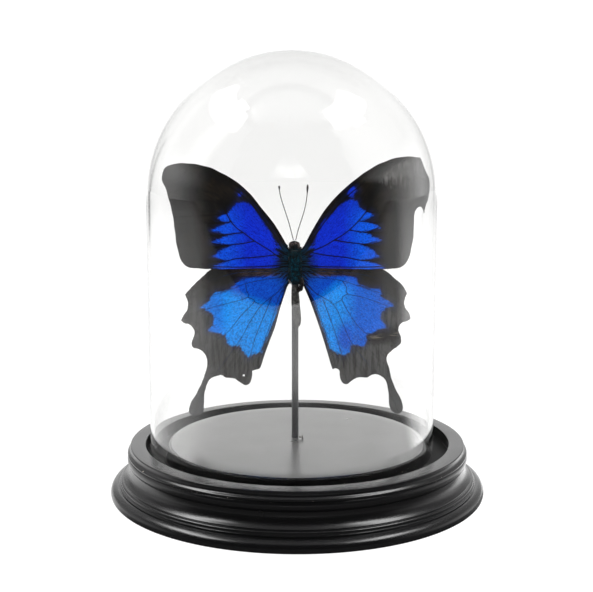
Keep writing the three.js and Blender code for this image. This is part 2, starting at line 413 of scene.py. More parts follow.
@dataclass(frozen=True)
class UpperScales(Finish):
    """Velvet black upper side of a wing with a field of structural blue.

    The mesh stores, in millimetres, how far a vertex lies inside the blue field (field), its distance to
    the nearest vein (vein), to the outline (edge) and to a worn patch (worn), its height over the wing's root
    (up) and its distance from the root (reach). It also stores the bearing from the root in radians
    (bearing) and a share of the paler blue (glow), which is painted reflection on the field.

    Attributes:
        deep: Darkest blue of the field.
        bright: Brightest blue of the field.
        far: The paler blue, painted where the field shows reflected light.
        root: Teal scales near the root.
        outer: Grey of the outer part.
        outer_start: Distance from the root where the grey starts.
        outer_end: Distance from the root where it is full.
        outer_top: Height where the grey ends.
        outer_low: Height under which it is full.
        seam: Brown between the wings.
        ground: Velvet black.
        dusted: Brown streaks in the black.
        tail: Grey of the tail.
        dust: Blue dust round the field.
        worn: Bare membrane.
        feather: Half the width of the field's border.
        scratches: Lumps of the wear for each metre across and up.
        lines: How dark the veins are.
    """

    name: str
    deep: Colour
    bright: Colour
    far: Colour
    root: Colour
    outer: Colour
    outer_start: float
    outer_end: float
    outer_top: float = 34.0
    outer_low: float = 20.0
    seam: Colour = (0.058, 0.041, 0.039)
    ground: Colour = (0.0030, 0.0027, 0.0025)
    dusted: Colour = (0.016, 0.011, 0.006)
    tail: Colour = (0.055, 0.055, 0.055)
    dust: Colour = (0.0006, 0.010, 0.075)
    worn: Colour = (0.16, 0.13, 0.10)
    feather: float = 0.55
    scratches: tuple[float, float] = (1500.0, 170.0)
    lines: float = 0.92

    def draw(self, graph: Graph) -> dict:
        """Returns the shader inputs of the scales."""
        depth, vein, up, reach = (graph.attribute(name) for name in ("field", "vein", "up", "reach"))
        rays, fine, broad = graph.rays(55.0, 0.11), graph.rays(190.0, 0.30), graph.rays(13.0, 0.16)
        speckle = graph.noise(1500.0, 3.0, None, 0.7)
        # The rays pull the border of the field out into a feathered edge.
        pull = graph.times(graph.minus(broad, 0.5), graph.rise(reach, 17.0, 7.0), 13.0)
        frayed = graph.plus(depth, graph.scaled(graph.minus(rays, 0.5), 2.4, pull))
        frayed = graph.plus(frayed, graph.times(graph.minus(speckle, 0.5), 1.1))
        blue = graph.mix(graph.rise(fine, 0.32, 0.68), self.deep, self.bright)
        # The paler blue is painted reflection: it stands for light that the glass and the scales reflect.
        paler = graph.mix(graph.rise(fine, 0.32, 0.62), dimmed(self.far, 0.66), self.far)
        blue = graph.mix(graph.attribute("glow"), blue, paler)
        gaps = graph.times(graph.rise(speckle, 0.56, 0.34), 0.55)
        blue = graph.mix(gaps, blue, dimmed(self.deep, 0.25))
        colour = self.ground_colour(graph, fine, rays, reach, up)
        dusting = graph.times(graph.rise(frayed, -3.0, 0.2), graph.rise(fine, 0.36, 0.60), 0.6)
        colour = graph.mix(dusting, colour, self.dust)
        colour = graph.mix(graph.rise(frayed, -self.feather, self.feather), colour, blue)
        colour = graph.mix(graph.times(graph.rise(vein, 0.40, 0.14), self.lines), colour, self.ground)
        # Teal scales between dark ones spread from the root.
        streak = graph.times(graph.rise(reach, 11.0, 5.0), graph.rise(broad, 0.60, 0.46))
        colour = graph.mix(streak, colour, self.ground)
        streak = graph.times(graph.rise(reach, 12.0, 6.0), graph.rise(broad, 0.48, 0.60))
        colour = graph.mix(streak, colour, self.root)
        # A brown band lies where the forewing's lower edge meets the hindwing.
        low_edge = graph.ridge(up, -3.9, -2.9, 0.5, -0.3)
        along_edge = graph.times(graph.rise(reach, 34.0, 12.0),
                                 graph.scaled(graph.rise(reach, 6.0, 12.0), 0.85, 0.15))
        seam = graph.times(low_edge, along_edge, graph.rise(fine, 0.40, 0.62))
        colour = graph.mix(seam, colour, self.seam)
        scratched = graph.rise(graph.streaks(*self.scratches, 0.7), 0.50, 0.62)
        scratched = graph.times(graph.rise(graph.attribute("worn"), 0.6, -1.0), scratched)
        colour = graph.mix(scratched, colour, self.worn)
        relief = graph.bump(graph.noise(3800.0, 2.0), 0.3, 0.00005)
        relief = graph.bump(rays, 0.2, 0.00015, relief)
        return {"Base Color": colour, "Roughness": 0.6, "Specular IOR Level": 0.08, "Normal": relief}

    def ground_colour(self, graph: Graph, fine: object, rays: object, reach: object, up: object) -> Socket:
        """Returns the black of the wing: velvet near the body, brown in streaks, grey towards the margin.

        Args:
            graph: The tree.
            fine: The finest rays.
            rays: The middle rays.
            reach: Distance from the root.
            up: Height over the root.
        """
        brown = graph.times(graph.rise(graph.noise(140.0, 3.0), 0.42, 0.62), graph.rise(fine, 0.35, 0.7))
        ground = graph.mix(brown, self.ground, self.dusted)
        # Lighter and darker upright streaks run through the grey.
        upright_streaks = graph.rise(graph.streaks(640.0, 75.0, 0.65), 0.36, 0.64)
        grey = graph.times(
            graph.rise(reach, self.outer_start, self.outer_end),
            graph.scaled(graph.rise(rays, 0.3, 0.7), 0.5, 0.5),
            graph.rise(up, self.outer_top, self.outer_low),
            graph.rise(graph.attribute("worn"), -0.5, 4.5),
            graph.scaled(upright_streaks, 1.2, 0.4),
        )
        ground = graph.mix(grey, ground, self.outer)
        return graph.mix(graph.rise(up, -42.0, -58.0), ground, self.tail)


@dataclass(frozen=True)
class LowerScales(Finish):
    """Underside of a wing: dark brown, dusted pale between the veins, with crescents near the margin."""

    name: str
    ground: Colour = (0.022, 0.015, 0.010)
    pale: Colour = (0.16, 0.12, 0.085)
    crescent: Colour = (0.30, 0.15, 0.06)
    blue: Colour = (0.05, 0.09, 0.16)
    line: Colour = (0.010, 0.008, 0.006)
    crescents: bool = True

    def draw(self, graph: Graph) -> dict:
        """Returns the shader inputs of the underside."""
        vein, edge = graph.attribute("vein"), graph.attribute("edge")
        speckle = graph.noise(1300.0, 3.0, None, 0.7)
        band = graph.ridge(edge, 6.5, 9.0, 17.0, 12.0)
        rays = graph.rise(graph.rays(45.0, 0.10, 3.0), 0.3, 0.7)
        dusting = graph.times(band, graph.rise(vein, 0.7, 1.8), rays, 0.75)
        colour = graph.mix(dusting, self.ground, self.pale)
        if self.crescents:
            # The crescents follow the outer margin only, between the veins.
            beside = graph.times(graph.rise(graph.attribute("bearing"), -1.28, -1.20),
                                 graph.rise(graph.attribute("reach"), 26.0, 31.0), graph.rise(vein, 0.9, 1.4))
            moon = graph.times(graph.ridge(edge, 3.0, 3.6, 5.6, 4.9), beside, 0.8)
            colour = graph.mix(moon, colour, self.crescent)
            arc = graph.times(graph.ridge(edge, 5.8, 6.2, 7.4, 6.9), beside, 0.6)
            colour = graph.mix(arc, colour, self.blue)
        colour = graph.mix(graph.rise(vein, 0.4, 0.15), colour, self.line)
        colour = graph.mix(graph.times(graph.rise(speckle, 0.55, 0.75), 0.5), colour, self.pale)
        relief = graph.bump(graph.noise(3800.0, 2.0), 0.35, 0.00006)
        return {"Base Color": colour, "Roughness": 0.65, "Specular IOR Level": 0.25, "Normal": relief}


@dataclass(frozen=True)
class PaleFloor(Finish):
    """The studio floor: white, and seen in gloss as a table that is lit unevenly round the object.

    Attributes:
        white: Brightness seen straight or through the glass.
        far_white: The same far off, where the floor meets the background.
        front: Brightness in gloss of the front of the table.
        strip: That of the strip straight in front.
        left: That of the left side.
        dim: Share that the front left loses.
        right: That of the right side.
        near_right: That of the right side close to the object.
        far_right: That of the right side far off.
        even: What the back right gains far off.
        hollow: That of the front right.
        near_hollow: The same close to the object.
        back: That of the back.
        back_corners: The same far off, on the left and the right.
        far_back: The same far off, straight behind the object.
        gap: That of the dark gap on the back left.
        near_base: Share of the light that is left at the front of the base.
    """

    name: str = "pale_floor"
    white: float = 1.06
    far_white: float = 1.005
    front: float = 0.38
    strip: float = 1.65
    left: float = 1.15
    dim: float = 0.6
    right: float = 0.56
    near_right: float = 0.36
    far_right: float = 0.34
    even: float = 0.8
    hollow: float = 0.20
    near_hollow: float = 0.30
    back: float = 1.02
    back_corners: float = 0.72
    far_back: float = 1.42
    gap: float = 0.06
    near_base: float = 0.10

    def draw(self, graph: Graph) -> dict:
        """Returns the shader inputs of the floor."""
        x, y, _ = graph.axes()
        away = graph.length(x, y)
        mirrored = graph.math("MINIMUM", graph.node("ShaderNodeLightPath").outputs["Glossy Depth"], 1.0)
        # Far off, the floor is as bright as the background that it meets.
        plain = graph.between(graph.rise(away, 0.7, 2.6), self.white, self.far_white)
        return {
            "Base Color": (0.05, 0.05, 0.05, 1.0),
            "Roughness": 0.8,
            "Specular IOR Level": 0.0,
            "Emission Color": WHITE,
            "Emission Strength": graph.between(mirrored, plain, self.in_gloss(graph, x, y, away)),
        }

    def in_gloss(self, graph: Graph, x: object, y: object, away: object) -> Socket:
        """Returns the brightness that mirrors show.

        Args:
            graph: The tree.
            x: Metres to the right.
            y: Metres to the back.
            away: Metres from the object's axis.
        """
        bearing = graph.bearing(x, y)
        beside = graph.absolute(bearing)
        # The left side is lit from near by and fades with distance.
        growth = graph.math("POWER", graph.math("DIVIDE", away, 0.9), 1.2)
        fading = graph.math("DIVIDE", 1.15, graph.plus(1.0, growth))
        left = graph.times(graph.between(graph.rise(bearing, -45.0, -78.0), self.front, self.left), fading)
        dim = graph.times(graph.ridge(bearing, -74.0, -64.0, -42.0, -50.0),
                          graph.ridge(away, 0.44, 0.54, 1.10, 0.85))
        left = graph.times(left, graph.scaled(dim, -self.dim, 1.0))
        # The right side is darker, with a hollow in front, and brightens towards the back.
        hollow = graph.between(graph.rise(away, 0.56, 0.38), self.hollow, self.near_hollow)
        side = graph.between(graph.rise(away, 0.5, 0.9), self.near_right, self.right)
        side = graph.between(graph.rise(away, 2.4, 0.9), self.far_right, side)
        right = graph.between(graph.rise(bearing, 60.0, 80.0), hollow, side)
        right = graph.between(graph.rise(bearing, 18.0, 34.0), self.front, right)
        even = graph.between(graph.rise(away, 1.2, 3.0), graph.times(fading, 1.75), self.even)
        right = graph.plus(right, graph.times(graph.rise(bearing, 84.0, 98.0), even))
        seen = graph.between(graph.rise(bearing, -12.0, 12.0), left, right)
        # The front edge of the table is crisp in front of the object and soft further out.
        edge = graph.between(graph.rise(graph.absolute(x), 0.30, 0.75), 1.0, graph.rise(y, -0.70, -0.20))
        seen = graph.times(seen, edge)
        behind = graph.math("MAXIMUM", graph.rise(bearing, -100.0, -125.0), graph.rise(bearing, 105.0, 125.0))
        straight_back = graph.times(graph.rise(beside, 148.0, 164.0), graph.rise(away, 1.6, 2.8))
        far_back = graph.between(straight_back, self.back_corners, self.far_back)
        back = graph.between(graph.rise(away, 2.2, 0.9), far_back, self.back)
        seen = graph.between(behind, seen, back)
        gap = graph.times(graph.ridge(bearing, -151.0, -148.5, -144.5, -147.0), graph.rise(away, 0.9, 1.5))
        seen = graph.between(gap, seen, self.gap)
        strip = graph.times(graph.rise(graph.absolute(x), 0.13, 0.05), graph.rise(y, -0.235, -0.34))
        seen = graph.between(strip, seen, self.strip)
        shade = graph.times(graph.rise(away, 0.30, 0.10), graph.rise(beside, 78.0, 52.0))
        return graph.times(seen, graph.scaled(shade, self.near_base - 1.0, 1.0))


# ---- Meshes


def make_object(
    name: str, points: np.ndarray, faces: Sequence[Sequence[int]], smooth_angle: float = 40.0
) -> Piece:
    """Makes a mesh object at the origin.

    Args:
        name: The object's name.
        points: Its vertices in millimetres.
        faces: Vertex numbers of each face, counter-clockwise from outside.
        smooth_angle: Edges sharper than this many degrees stay sharp.

    Returns:
        The object, linked to the scene.
    """
    mesh = bpy.data.meshes.new(name)
    mesh.from_pydata((np.asarray(points) * MM).tolist(), [], [list(face) for face in faces])
    mesh.update()
    mesh.shade_smooth()
    mesh.set_sharp_from_angle(angle=math.radians(smooth_angle))
    made = bpy.data.objects.new(name, mesh)
    bpy.context.scene.collection.objects.link(made)
    return made


def store(target: Piece, name: str, values: np.ndarray) -> None:
    """Stores numbers or vectors on the vertices of a mesh.

    Args:
        target: The object.
        name: The attribute's name.
        values: One number or one row of three numbers for each vertex.
    """
    values = np.asarray(values, np.float32)
    kind, key = ("FLOAT_VECTOR", "vector") if values.ndim == 2 else ("FLOAT", "value")
    target.data.attributes.new(name, kind, "POINT").data.foreach_set(key, values.ravel())


class Section:
    """Half section of a turned piece, drawn as lines and curves of [radius, height]."""

    def __init__(self, radius: float, height: float, steps: int = 8) -> None:
        """Starts the section.

        Args:
            radius: First radius.
            height: First height.
            steps: Straight pieces in each curve.
        """
        self.points: list[Point2] = [(radius, height)]
        self.steps = steps

    def line(self, radius: float, height: float) -> Section:
        """Draws a straight line and returns the section."""
        self.points.append((radius, height))
        return self

    def curve(self, *controls: float) -> Section:
        """Draws a Bezier curve.

        Args:
            controls: Radius and height of each control point, the last of which is the curve's end.

        Returns:
            The section.
        """
        pulls = [np.array(self.points[-1])] + [np.array(pair) for pair in zip(controls[::2], controls[1::2])]
        for step in range(1, self.steps + 1):
            share, left = step / self.steps, list(pulls)
            while len(left) > 1:
                left = [first + (second - first) * share for first, second in zip(left, left[1:])]
            self.points.append(tuple(left[0]))
        return self


def band(low: int, high: int, sides: int) -> list[tuple[int, ...]]:
    """Returns the faces between two rings of vertices.

    Args:
        low: Number of the first vertex of the lower ring.
        high: Number of the first vertex of the upper ring.
        sides: Vertices of each ring.
    """
    following = [*range(1, sides), 0]
    return [(low + step, low + after, high + after, high + step) for step, after in enumerate(following)]


def revolve(
    name: str, section: Sequence[Point2], centre: Point3, segments: int = 160, smooth_angle: float = 32.0
) -> Piece:
    """Turns a half section that starts and ends on the axis into a closed mesh.

    Args:
        name: The object's name.
        section: Points of [radius, height], rising on the outside.
        centre: Where the section's axis stands.
        segments: Faces round the axis.
        smooth_angle: Edges sharper than this many degrees stay sharp.

    Returns:
        The object.
    """
    angles = np.linspace(0.0, 2.0 * math.pi, segments, endpoint=False)
    points: list[np.ndarray] = []
    for radius, height in section:
        turn = angles if radius > 1e-6 else angles[:1]
        points.append(np.stack([radius * np.cos(turn), radius * np.sin(turn), np.full(len(turn), height)], 1))
    starts = np.cumsum([0, *(len(ring) for ring in points)]).tolist()
    faces: list[tuple[int, ...]] = []
    for ring in range(len(points) - 1):
        low, high = starts[ring], starts[ring + 1]
        quads = band(low, high, segments)
        if len(points[ring]) == 1:
            faces += [(low, high + (step + 1) % segments, high + step) for step in range(segments)]
        elif len(points[ring + 1]) == 1:
            faces += [(first, second, high) for first, second, *_ in quads]
        else:
            faces += quads
    return make_object(name, np.concatenate(points) + np.array(centre), faces, smooth_angle)


def spline(corners: Sequence[np.ndarray], share: float) -> np.ndarray:
    """Returns a point between the middle two of four corners of a smooth curve.

    Args:
        corners: The four corners.
        share: 0 at the second corner and 1 at the third.
    """
    first, second, third, fourth = corners
    return 0.5 * (2 * second + (third - first) * share
                  + (2 * first - 5 * second + 4 * third - fourth) * share**2
                  + (3 * second - first - 3 * third + fourth) * share**3)


def smooth_path(points: Sequence[Sequence[float]], count: int) -> np.ndarray:
    """Returns evenly numbered points on a smooth curve through the given points.

    Args:
        points: Points in two or three dimensions.
        count: How many points to return.
    """
    given = np.asarray(points, float)
    padded = np.vstack([2 * given[0] - given[1], given, 2 * given[-1] - given[-2]])
    result = []
    for place in np.linspace(0, len(given) - 1, count):
        index = min(int(place), len(given) - 2)
        result.append(spline(padded[index:index + 4], place - index))
    return np.array(result)


def sweep(points: np.ndarray, radii: np.ndarray, sides: int, flatten: float = 1.0) -> Shape:
    """Sweeps a round section along a path and closes both ends.

    Args:
        points: The path, in millimetres.
        radii: Radius at each point of the path.
        sides: Sides of the section.
        flatten: Depth of the section over its width.

    Returns:
        The vertices and the faces.
    """
    along = np.gradient(points, axis=0)
    along /= np.linalg.norm(along, axis=1, keepdims=True)
    side = np.cross(along[0], (0.0, 1.0, 0.1))
    angles = np.linspace(0, 2 * math.pi, sides, endpoint=False)
    rings = []
    for place, direction, radius in zip(points, along, radii):
        side = side - direction * np.dot(side, direction)
        side /= np.linalg.norm(side)
        other = np.cross(direction, side)
        section = np.outer(np.cos(angles), side) + flatten * np.outer(np.sin(angles), other)
        rings.append(place + radius * section)
    last_ring = (len(points) - 1) * sides
    faces = [face for low in range(0, last_ring, sides) for face in band(low, low + sides, sides)]
    first_tip, last_tip = last_ring + sides, last_ring + sides + 1
    for step in range(sides):
        after = (step + 1) % sides
        faces.append((after, step, first_tip))
        faces.append((last_ring + step, last_ring + after, last_tip))
    tips = [points[0] - along[0] * radii[0] * 0.5, points[-1] + along[-1] * radii[-1] * 0.5]
    return np.vstack([*rings, *tips]), faces


def gather(*shapes: Shape) -> Shape:
    """Puts several shapes into one list of vertices and one of faces."""
    vertices, faces, offset = [], [], 0
    for points, shape_faces in shapes:
        vertices.append(points)
        faces += [tuple(index + offset for index in face) for face in shape_faces]
        offset += len(points)
    return np.vstack(vertices), faces


def ball(half_sizes: Point3, centre: Point3, around: int = 28, along: int = 18) -> Shape:
    """Returns the vertices and faces of an ellipsoid.

    Args:
        half_sizes: Half its size along X, Y and Z.
        centre: Its middle.
        around: Faces round the Z axis.
        along: Faces from pole to pole.
    """
    heights = np.cos(np.linspace(math.pi, 0, along + 1))[1:-1]
    angles = np.linspace(0, 2 * math.pi, around, endpoint=False)
    rings = [np.stack([np.sqrt(1 - z * z) * np.cos(angles), np.sqrt(1 - z * z) * np.sin(angles),
                       np.full(around, z)], 1) for z in heights]
    points = np.vstack([*rings, [[0, 0, -1]], [[0, 0, 1]]]) * np.array(half_sizes) + np.array(centre)
    faces: list[tuple[int, ...]] = []
    last = len(rings) - 1
    bottom, top = len(rings) * around, len(rings) * around + 1
    for step in range(around):
        after = (step + 1) % around
        faces.append((bottom, after, step))
        faces.append((top, last * around + step, last * around + after))
        for ring in range(last):
            low, high = ring * around, (ring + 1) * around
            faces.append((low + step, low + after, high + after, high + step))
    return points, faces


def dress(piece: Piece, slot: str, replaced: Sequence[str], *finishes: Finish) -> Piece:
    """Gives a piece its materials and its place in the frame.

    Args:
        piece: The finished mesh object.
        slot: The record's material slot. It is not used.
        replaced: The CAD nodes that it stands for.
        finishes: Its materials, in slot order.

    Returns:
        The piece.
    """
    piece.data.materials.clear()
    for finish in finishes:
        piece.data.materials.append(finish.material())
    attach(piece, "root")
    if replaced:
        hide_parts(*replaced)
    LOG.info("%s: %d faces", piece.name, len(piece.data.polygons))
    return piece


# ---- Geometry Nodes: what repeats on a surface and what follows a path


@dataclass(frozen=True)
class Grower:
    """A geometry node tree with named inputs, run on a mesh and kept as a plain mesh."""

    name: str
    inputs: tuple[tuple[str, str, float | int], ...]
    write: Callable[[Graph, bpy.types.Node], Socket]

    def tree(self) -> bpy.types.NodeTree:
        """Returns the node tree, made once."""
        made = bpy.data.node_groups.get(self.name)
        if made is None:
            made = bpy.data.node_groups.new(self.name, "GeometryNodeTree")
            face = made.interface
            face.new_socket("Geometry", in_out="INPUT", socket_type="NodeSocketGeometry")
            face.new_socket("Material", in_out="INPUT", socket_type="NodeSocketMaterial")
            for label, kind, value in self.inputs:
                face.new_socket(label, in_out="INPUT", socket_type=kind).default_value = value
            face.new_socket("Geometry", in_out="OUTPUT", socket_type="NodeSocketGeometry")
            graph = Graph(made)
            source = graph.node("NodeGroupInput")
            shape = self.write(graph, source)
            real = graph.node("GeometryNodeRealizeInstances", {0: shape}).outputs[0]
            painted = graph.node("GeometryNodeSetMaterial", {"Geometry": real})
            made.links.new(source.outputs["Material"], painted.inputs["Material"])
            graph.node("NodeGroupOutput", {0: painted.outputs[0]})
        return made

    def grow(self, base: Piece, name: str, finish: Finish, **values: float) -> Piece:
        """Runs the tree on an object.

        Args:
            base: The object whose mesh the tree reads. It stays as it is.
            name: Name of the new object.
            finish: Its material.
            values: The tree's inputs, by name in lower case with underscores.

        Returns:
            A new object with a plain mesh.
        """
        carrier = bpy.data.objects.new(name + "_carrier", base.data.copy())
        bpy.context.scene.collection.objects.link(carrier)
        modifier = carrier.modifiers.new(self.name, "NODES")
        modifier.node_group = self.tree()
        for socket in modifier.node_group.interface.items_tree:
            key = socket.name.lower().replace(" ", "_")
            if socket.in_out == "INPUT" and key in values:
                modifier[socket.identifier] = values[key]
            if socket.in_out == "INPUT" and key == "material":
                modifier[socket.identifier] = finish.material()
        evaluated = carrier.evaluated_get(bpy.context.evaluated_depsgraph_get())
        shape = bpy.data.meshes.new_from_object(evaluated)
        shape.name = name
        made = bpy.data.objects.new(name, shape)
        bpy.context.scene.collection.objects.link(made)
        carrier.modifiers.remove(modifier)
        bpy.data.objects.remove(carrier)
        return made


def write_hair(graph: Graph, source: bpy.types.Node) -> Socket:
    """Scatters tapered hairs that lie along the mesh's lean vectors, as dense as its grow numbers say.

    Args:
        graph: The tree.
        source: Its input node.

    Returns:
        The socket that holds the hairs.
    """
    inputs = source.outputs
    seed = inputs["Seed"]
    density = graph.times(inputs["Density"], graph.stored("grow"))
    spread = graph.node("GeometryNodeDistributePointsOnFaces",
                        {"Mesh": inputs["Geometry"], "Density": density, "Seed": seed}).outputs
    wild = graph.node("FunctionNodeRandomValue", {"Min": (-1, -1, -1), "Max": (1, 1, 1), "Seed": seed},
                      data_type="FLOAT_VECTOR").outputs[0]
    wild = graph.stretched(wild, inputs["Wildness"])
    lie = graph.stretched(graph.stored("lean", "FLOAT_VECTOR"), inputs["Lie"])
    aim = graph.vector_math("ADD", graph.vector_math("ADD", spread["Normal"], lie), wild)
    turn = graph.node("FunctionNodeAlignRotationToVector", {"Vector": aim}, axis="Z").outputs[0]
    cone = graph.node("GeometryNodeMeshCone",
                      {"Vertices": 3, "Radius Top": 0.02, "Radius Bottom": 1.0, "Depth": 1.0}).outputs[0]
    # Sockets 2 and 3 are the ends of the range and output 1 is the number.
    length = graph.node("FunctionNodeRandomValue", {2: 0.55, 3: 1.0, "Seed": seed},
                        data_type="FLOAT").outputs[1]
    size = graph.combine(inputs["Radius"], inputs["Radius"], graph.times(length, inputs["Length"]))
    placed = {"Points": spread["Points"], "Instance": cone, "Rotation": turn, "Scale": size}
    return graph.node("GeometryNodeInstanceOnPoints", placed).outputs[0]


def write_vein(graph: Graph, source: bpy.types.Node) -> Socket:
    """Turns the mesh's edges into round ribs as thick as its girth numbers say.

    Args:
        graph: The tree.
        source: Its input node.

    Returns:
        The socket that holds the ribs.
    """
    lines = graph.node("GeometryNodeMeshToCurve", {0: source.outputs["Geometry"]}).outputs[0]
    girth = graph.times(graph.stored("girth"), source.outputs["Radius"])
    ring = graph.node("GeometryNodeCurvePrimitiveCircle",
                      {"Resolution": source.outputs["Sides"], "Radius": 1.0}).outputs[0]
    swept = {"Curve": lines, "Profile Curve": ring, "Scale": girth, "Fill Caps": True}
    return graph.node("GeometryNodeCurveToMesh", swept).outputs[0]


SHORT_HAIR = Grower("short_hair", (
    ("Density", "NodeSocketFloat", 1.0e6),
    ("Length", "NodeSocketFloat", 0.001),
    ("Radius", "NodeSocketFloat", 0.00004),
    ("Lie", "NodeSocketFloat", 2.0),
    ("Wildness", "NodeSocketFloat", 0.3),
    ("Seed", "NodeSocketInt", 7),
), write_hair)

WING_VEIN = Grower("wing_vein", (
    ("Radius", "NodeSocketFloat", 0.0002),
    ("Sides", "NodeSocketInt", 6),
), write_vein)


# ---- Base, dome, rod and nail


@dataclass
class TurnedBase:
    """The painted base: foot, bead, cove, lip, rim, groove and plateau."""

    height: float = 21.0
    foot_radius: float = 79.2
    rim_outer: float = 70.7
    rim_inner: float = 64.3
    groove_floor: float = 16.5
    plateau_radius: float = 55.0
    plateau_top: float = 21.5
    segments: int = 224

    def section(self) -> list[Point2]:
        """Returns the half section, from the middle of the underside out, up and back in."""
        top, inner, plateau = self.height, self.rim_inner, self.plateau_radius
        drawn = Section(0.0, 0.0, steps=7)
        drawn.line(60.0, 0.0).line(self.foot_radius - 1.2, 0.0)
        drawn.curve(self.foot_radius, 0.1, self.foot_radius, 1.3).curve(self.foot_radius, 3.6, 76.9, 4.6)
        drawn.curve(76.3, 4.85, 75.9, 4.75).line(75.55, 4.85).line(75.45, 5.15)
        drawn.curve(75.75, 5.4, 75.4, 5.75).line(75.05, 5.85).line(75.0, 6.1)
        drawn.curve(75.1, 6.95, 74.1, 7.15).line(73.7, 7.2).line(73.6, 7.5)
        drawn.curve(71.8, 8.7, 71.0, 10.4, 71.0, 12.9).line(71.05, 13.2).line(71.35, 13.5)
        drawn.curve(72.5, 15.2, 71.65, 16.85).line(71.45, 17.05)
        drawn.curve(72.35, 17.75, 71.5, 18.4).curve(70.4, 19.0, self.rim_outer, top - 0.5)
        drawn.curve(self.rim_outer, top, self.rim_outer - 0.5, top).line(inner + 0.35, top)
        drawn.curve(inner, top, inner, top - 0.35).line(inner, self.groove_floor + 0.5)
        drawn.curve(inner, self.groove_floor, inner - 0.5, self.groove_floor)
        drawn.line(plateau + 0.5, self.groove_floor)
        drawn.curve(plateau, self.groove_floor, plateau, self.groove_floor + 0.5)
        drawn.line(plateau, self.plateau_top - 1.3)
        drawn.curve(plateau - 0.2, self.plateau_top - 0.6, plateau - 1.8, self.plateau_top - 0.4)
        drawn.curve(plateau - 4.5, self.plateau_top, plateau - 9.0, self.plateau_top)
        drawn.line(30.0, self.plateau_top).line(0.0, self.plateau_top)
        return drawn.points

    def build(self) -> Piece:
        """Builds and dresses the base, and returns it."""
        piece = revolve("turned_base", self.section(), (0.0, 0.0, 0.0), self.segments)
        # The plateau gets a lighter copy of the paint: partly dust on it, and partly painted sheen of the
        # bright background seen at a low angle.
        plateau = BlackPaint("dusty_black_paint", (0.022, 0.022, 0.0218), (0.034, 0.034, 0.0335),
                             0.30, 2.05, 0.5, 0.35)
        # The groove gets a darker, rougher copy of the paint: painted shade in the deep narrow recess.
        groove = BlackPaint("matte_groove_paint", (0.001, 0.001, 0.001), (0.002, 0.002, 0.002),
                            0.6, 1.4, 0.15)
        dress(piece, "black_paint", ["wooden_base"], BlackPaint(), plateau, groove)
        plateau_paint, groove_paint = 1, 2
        # Faces on the plateau take the copy with painted sheen, and faces down in the groove take the copy
        # with painted shade.
        for face in piece.data.polygons:
            radius, height = math.hypot(*face.center.xy) / MM, face.center.z / MM
            in_groove = self.plateau_radius - 0.4 < radius < self.rim_inner + 0.1
            if height > self.plateau_top - 0.5 and radius < self.plateau_radius:
                face.material_index = plateau_paint
            elif height > self.groove_floor - 0.1 and in_groove:
                face.material_index = groove_paint
        return piece


@dataclass
class GlassDome:
    """The blown dome: a straight wall under a hemisphere, with a rounded lip."""

    outer_radius: float = 60.0
    wall: float = 1.6
    centre_x: float = -2.3
    hemisphere_centre: float = 125.1
    bottom: float = 16.5
    segments: int = 224
    quarter_steps: int = 44

    def section(self) -> list[Point2]:
        """Returns the half section, down the inside from the top, round the lip and up the outside."""
        outer, centre = self.outer_radius, self.hemisphere_centre
        inner = outer - self.wall
        angles = [step / self.quarter_steps * math.pi / 2 for step in range(self.quarter_steps + 1)]
        inside_crown, outside_crown = (
            [(radius * math.sin(angle), centre + radius * math.cos(angle)) for angle in angles]
            for radius in (inner, outer))
        lip = self.wall / 2
        middle = inner + lip
        turn = [(middle - lip * math.cos(angle), self.bottom + lip - lip * math.sin(angle))
                for angle in np.linspace(0, math.pi, 11)]
        wall_steps = np.linspace(centre, self.bottom + lip, 14)[1:-1]
        down = [(inner, height) for height in wall_steps]
        up = [(outer, height) for height in reversed(wall_steps)]
        return [(0.0, centre + inner), *inside_crown[1:], *down, *turn, *up, *outside_crown[:0:-1],
                (0.0, centre + outer)]

    def build(self) -> Piece:
        """Builds and dresses the dome, and returns it."""
        piece = revolve("glass_dome_shell", self.section(), (self.centre_x, 0.0, 0.0), self.segments, 80.0)
        # Lamps light the specimen through the clear wall.
        piece.visible_shadow = False
        return dress(piece, "clear_glass", ["glass_dome"], ClearGlass())


@dataclass
class Stand:
    """The rod behind the butterfly and the small nail at its foot."""

    rod_x: float = -0.9
    rod_y: float = 0.7
    rod_radius: float = 1.45
    rod_bottom: float = 21.5
    rod_top: float = 98.5
    nail_x: float = 0.4
    nail_y: float = -2.6
    nail_length: float = 2.1
    nail_shank: float = 0.35
    nail_head: float = 0.95
    nail_head_thickness: float = 0.45

    def build_rod(self) -> Piece:
        """Builds and dresses the rod, and returns it."""
        radius, tip = self.rod_radius, self.rod_top
        drawn = Section(0.0, self.rod_bottom, steps=5).line(radius, self.rod_bottom).line(radius, tip - 0.4)
        drawn.curve(radius, tip, radius - 0.4, tip).line(0.0, tip)
        piece = revolve("black_rod", drawn.points, (self.rod_x, self.rod_y, 0.0), 40)
        return dress(piece, "black_steel", ["rod"], Steel())

    def build_nail(self) -> Piece:
        """Builds the nail lying down along X, dresses it and returns it."""
        shank, head = self.nail_shank, self.nail_head
        length = self.nail_length
        neck = length - self.nail_head_thickness
        drawn = Section(0.0, 0.0, steps=4).line(shank, 0.5).line(shank, neck - 0.1)
        drawn.curve(shank, neck, shank + 0.1, neck).line(head - 0.1, neck)
        drawn.curve(head, neck, head, neck + 0.15).curve(head, length, head - 0.2, length)
        drawn.line(0.0, length)
        piece = revolve("small_nail", drawn.points, (0.0, 0.0, 0.0), 24)
        rest = self.rod_bottom + head + 0.05
        for vertex in piece.data.vertices:
            across, deep, along = vertex.co
            vertex.co = Vector((along + self.nail_x * MM, deep + self.nail_y * MM, rest * MM - across))
        finish = Steel("dull_bare_steel", (0.25, 0.24, 0.23), 0.4, 0.8)
        return dress(piece, "bare_steel", ["loose_nail"], finish)


# ---- Wings


class Side(Enum):
    """Which side of the butterfly a wing is on, as seen from its upper side."""

    LEFT = -1
    RIGHT = 1


# The insect's long axis stands at AXIS_X, and wings are drawn from the height WING_ROOT.
AXIS_X = -0.9
WING_ROOT = 95.0
WING_TURN = math.radians(2.5)
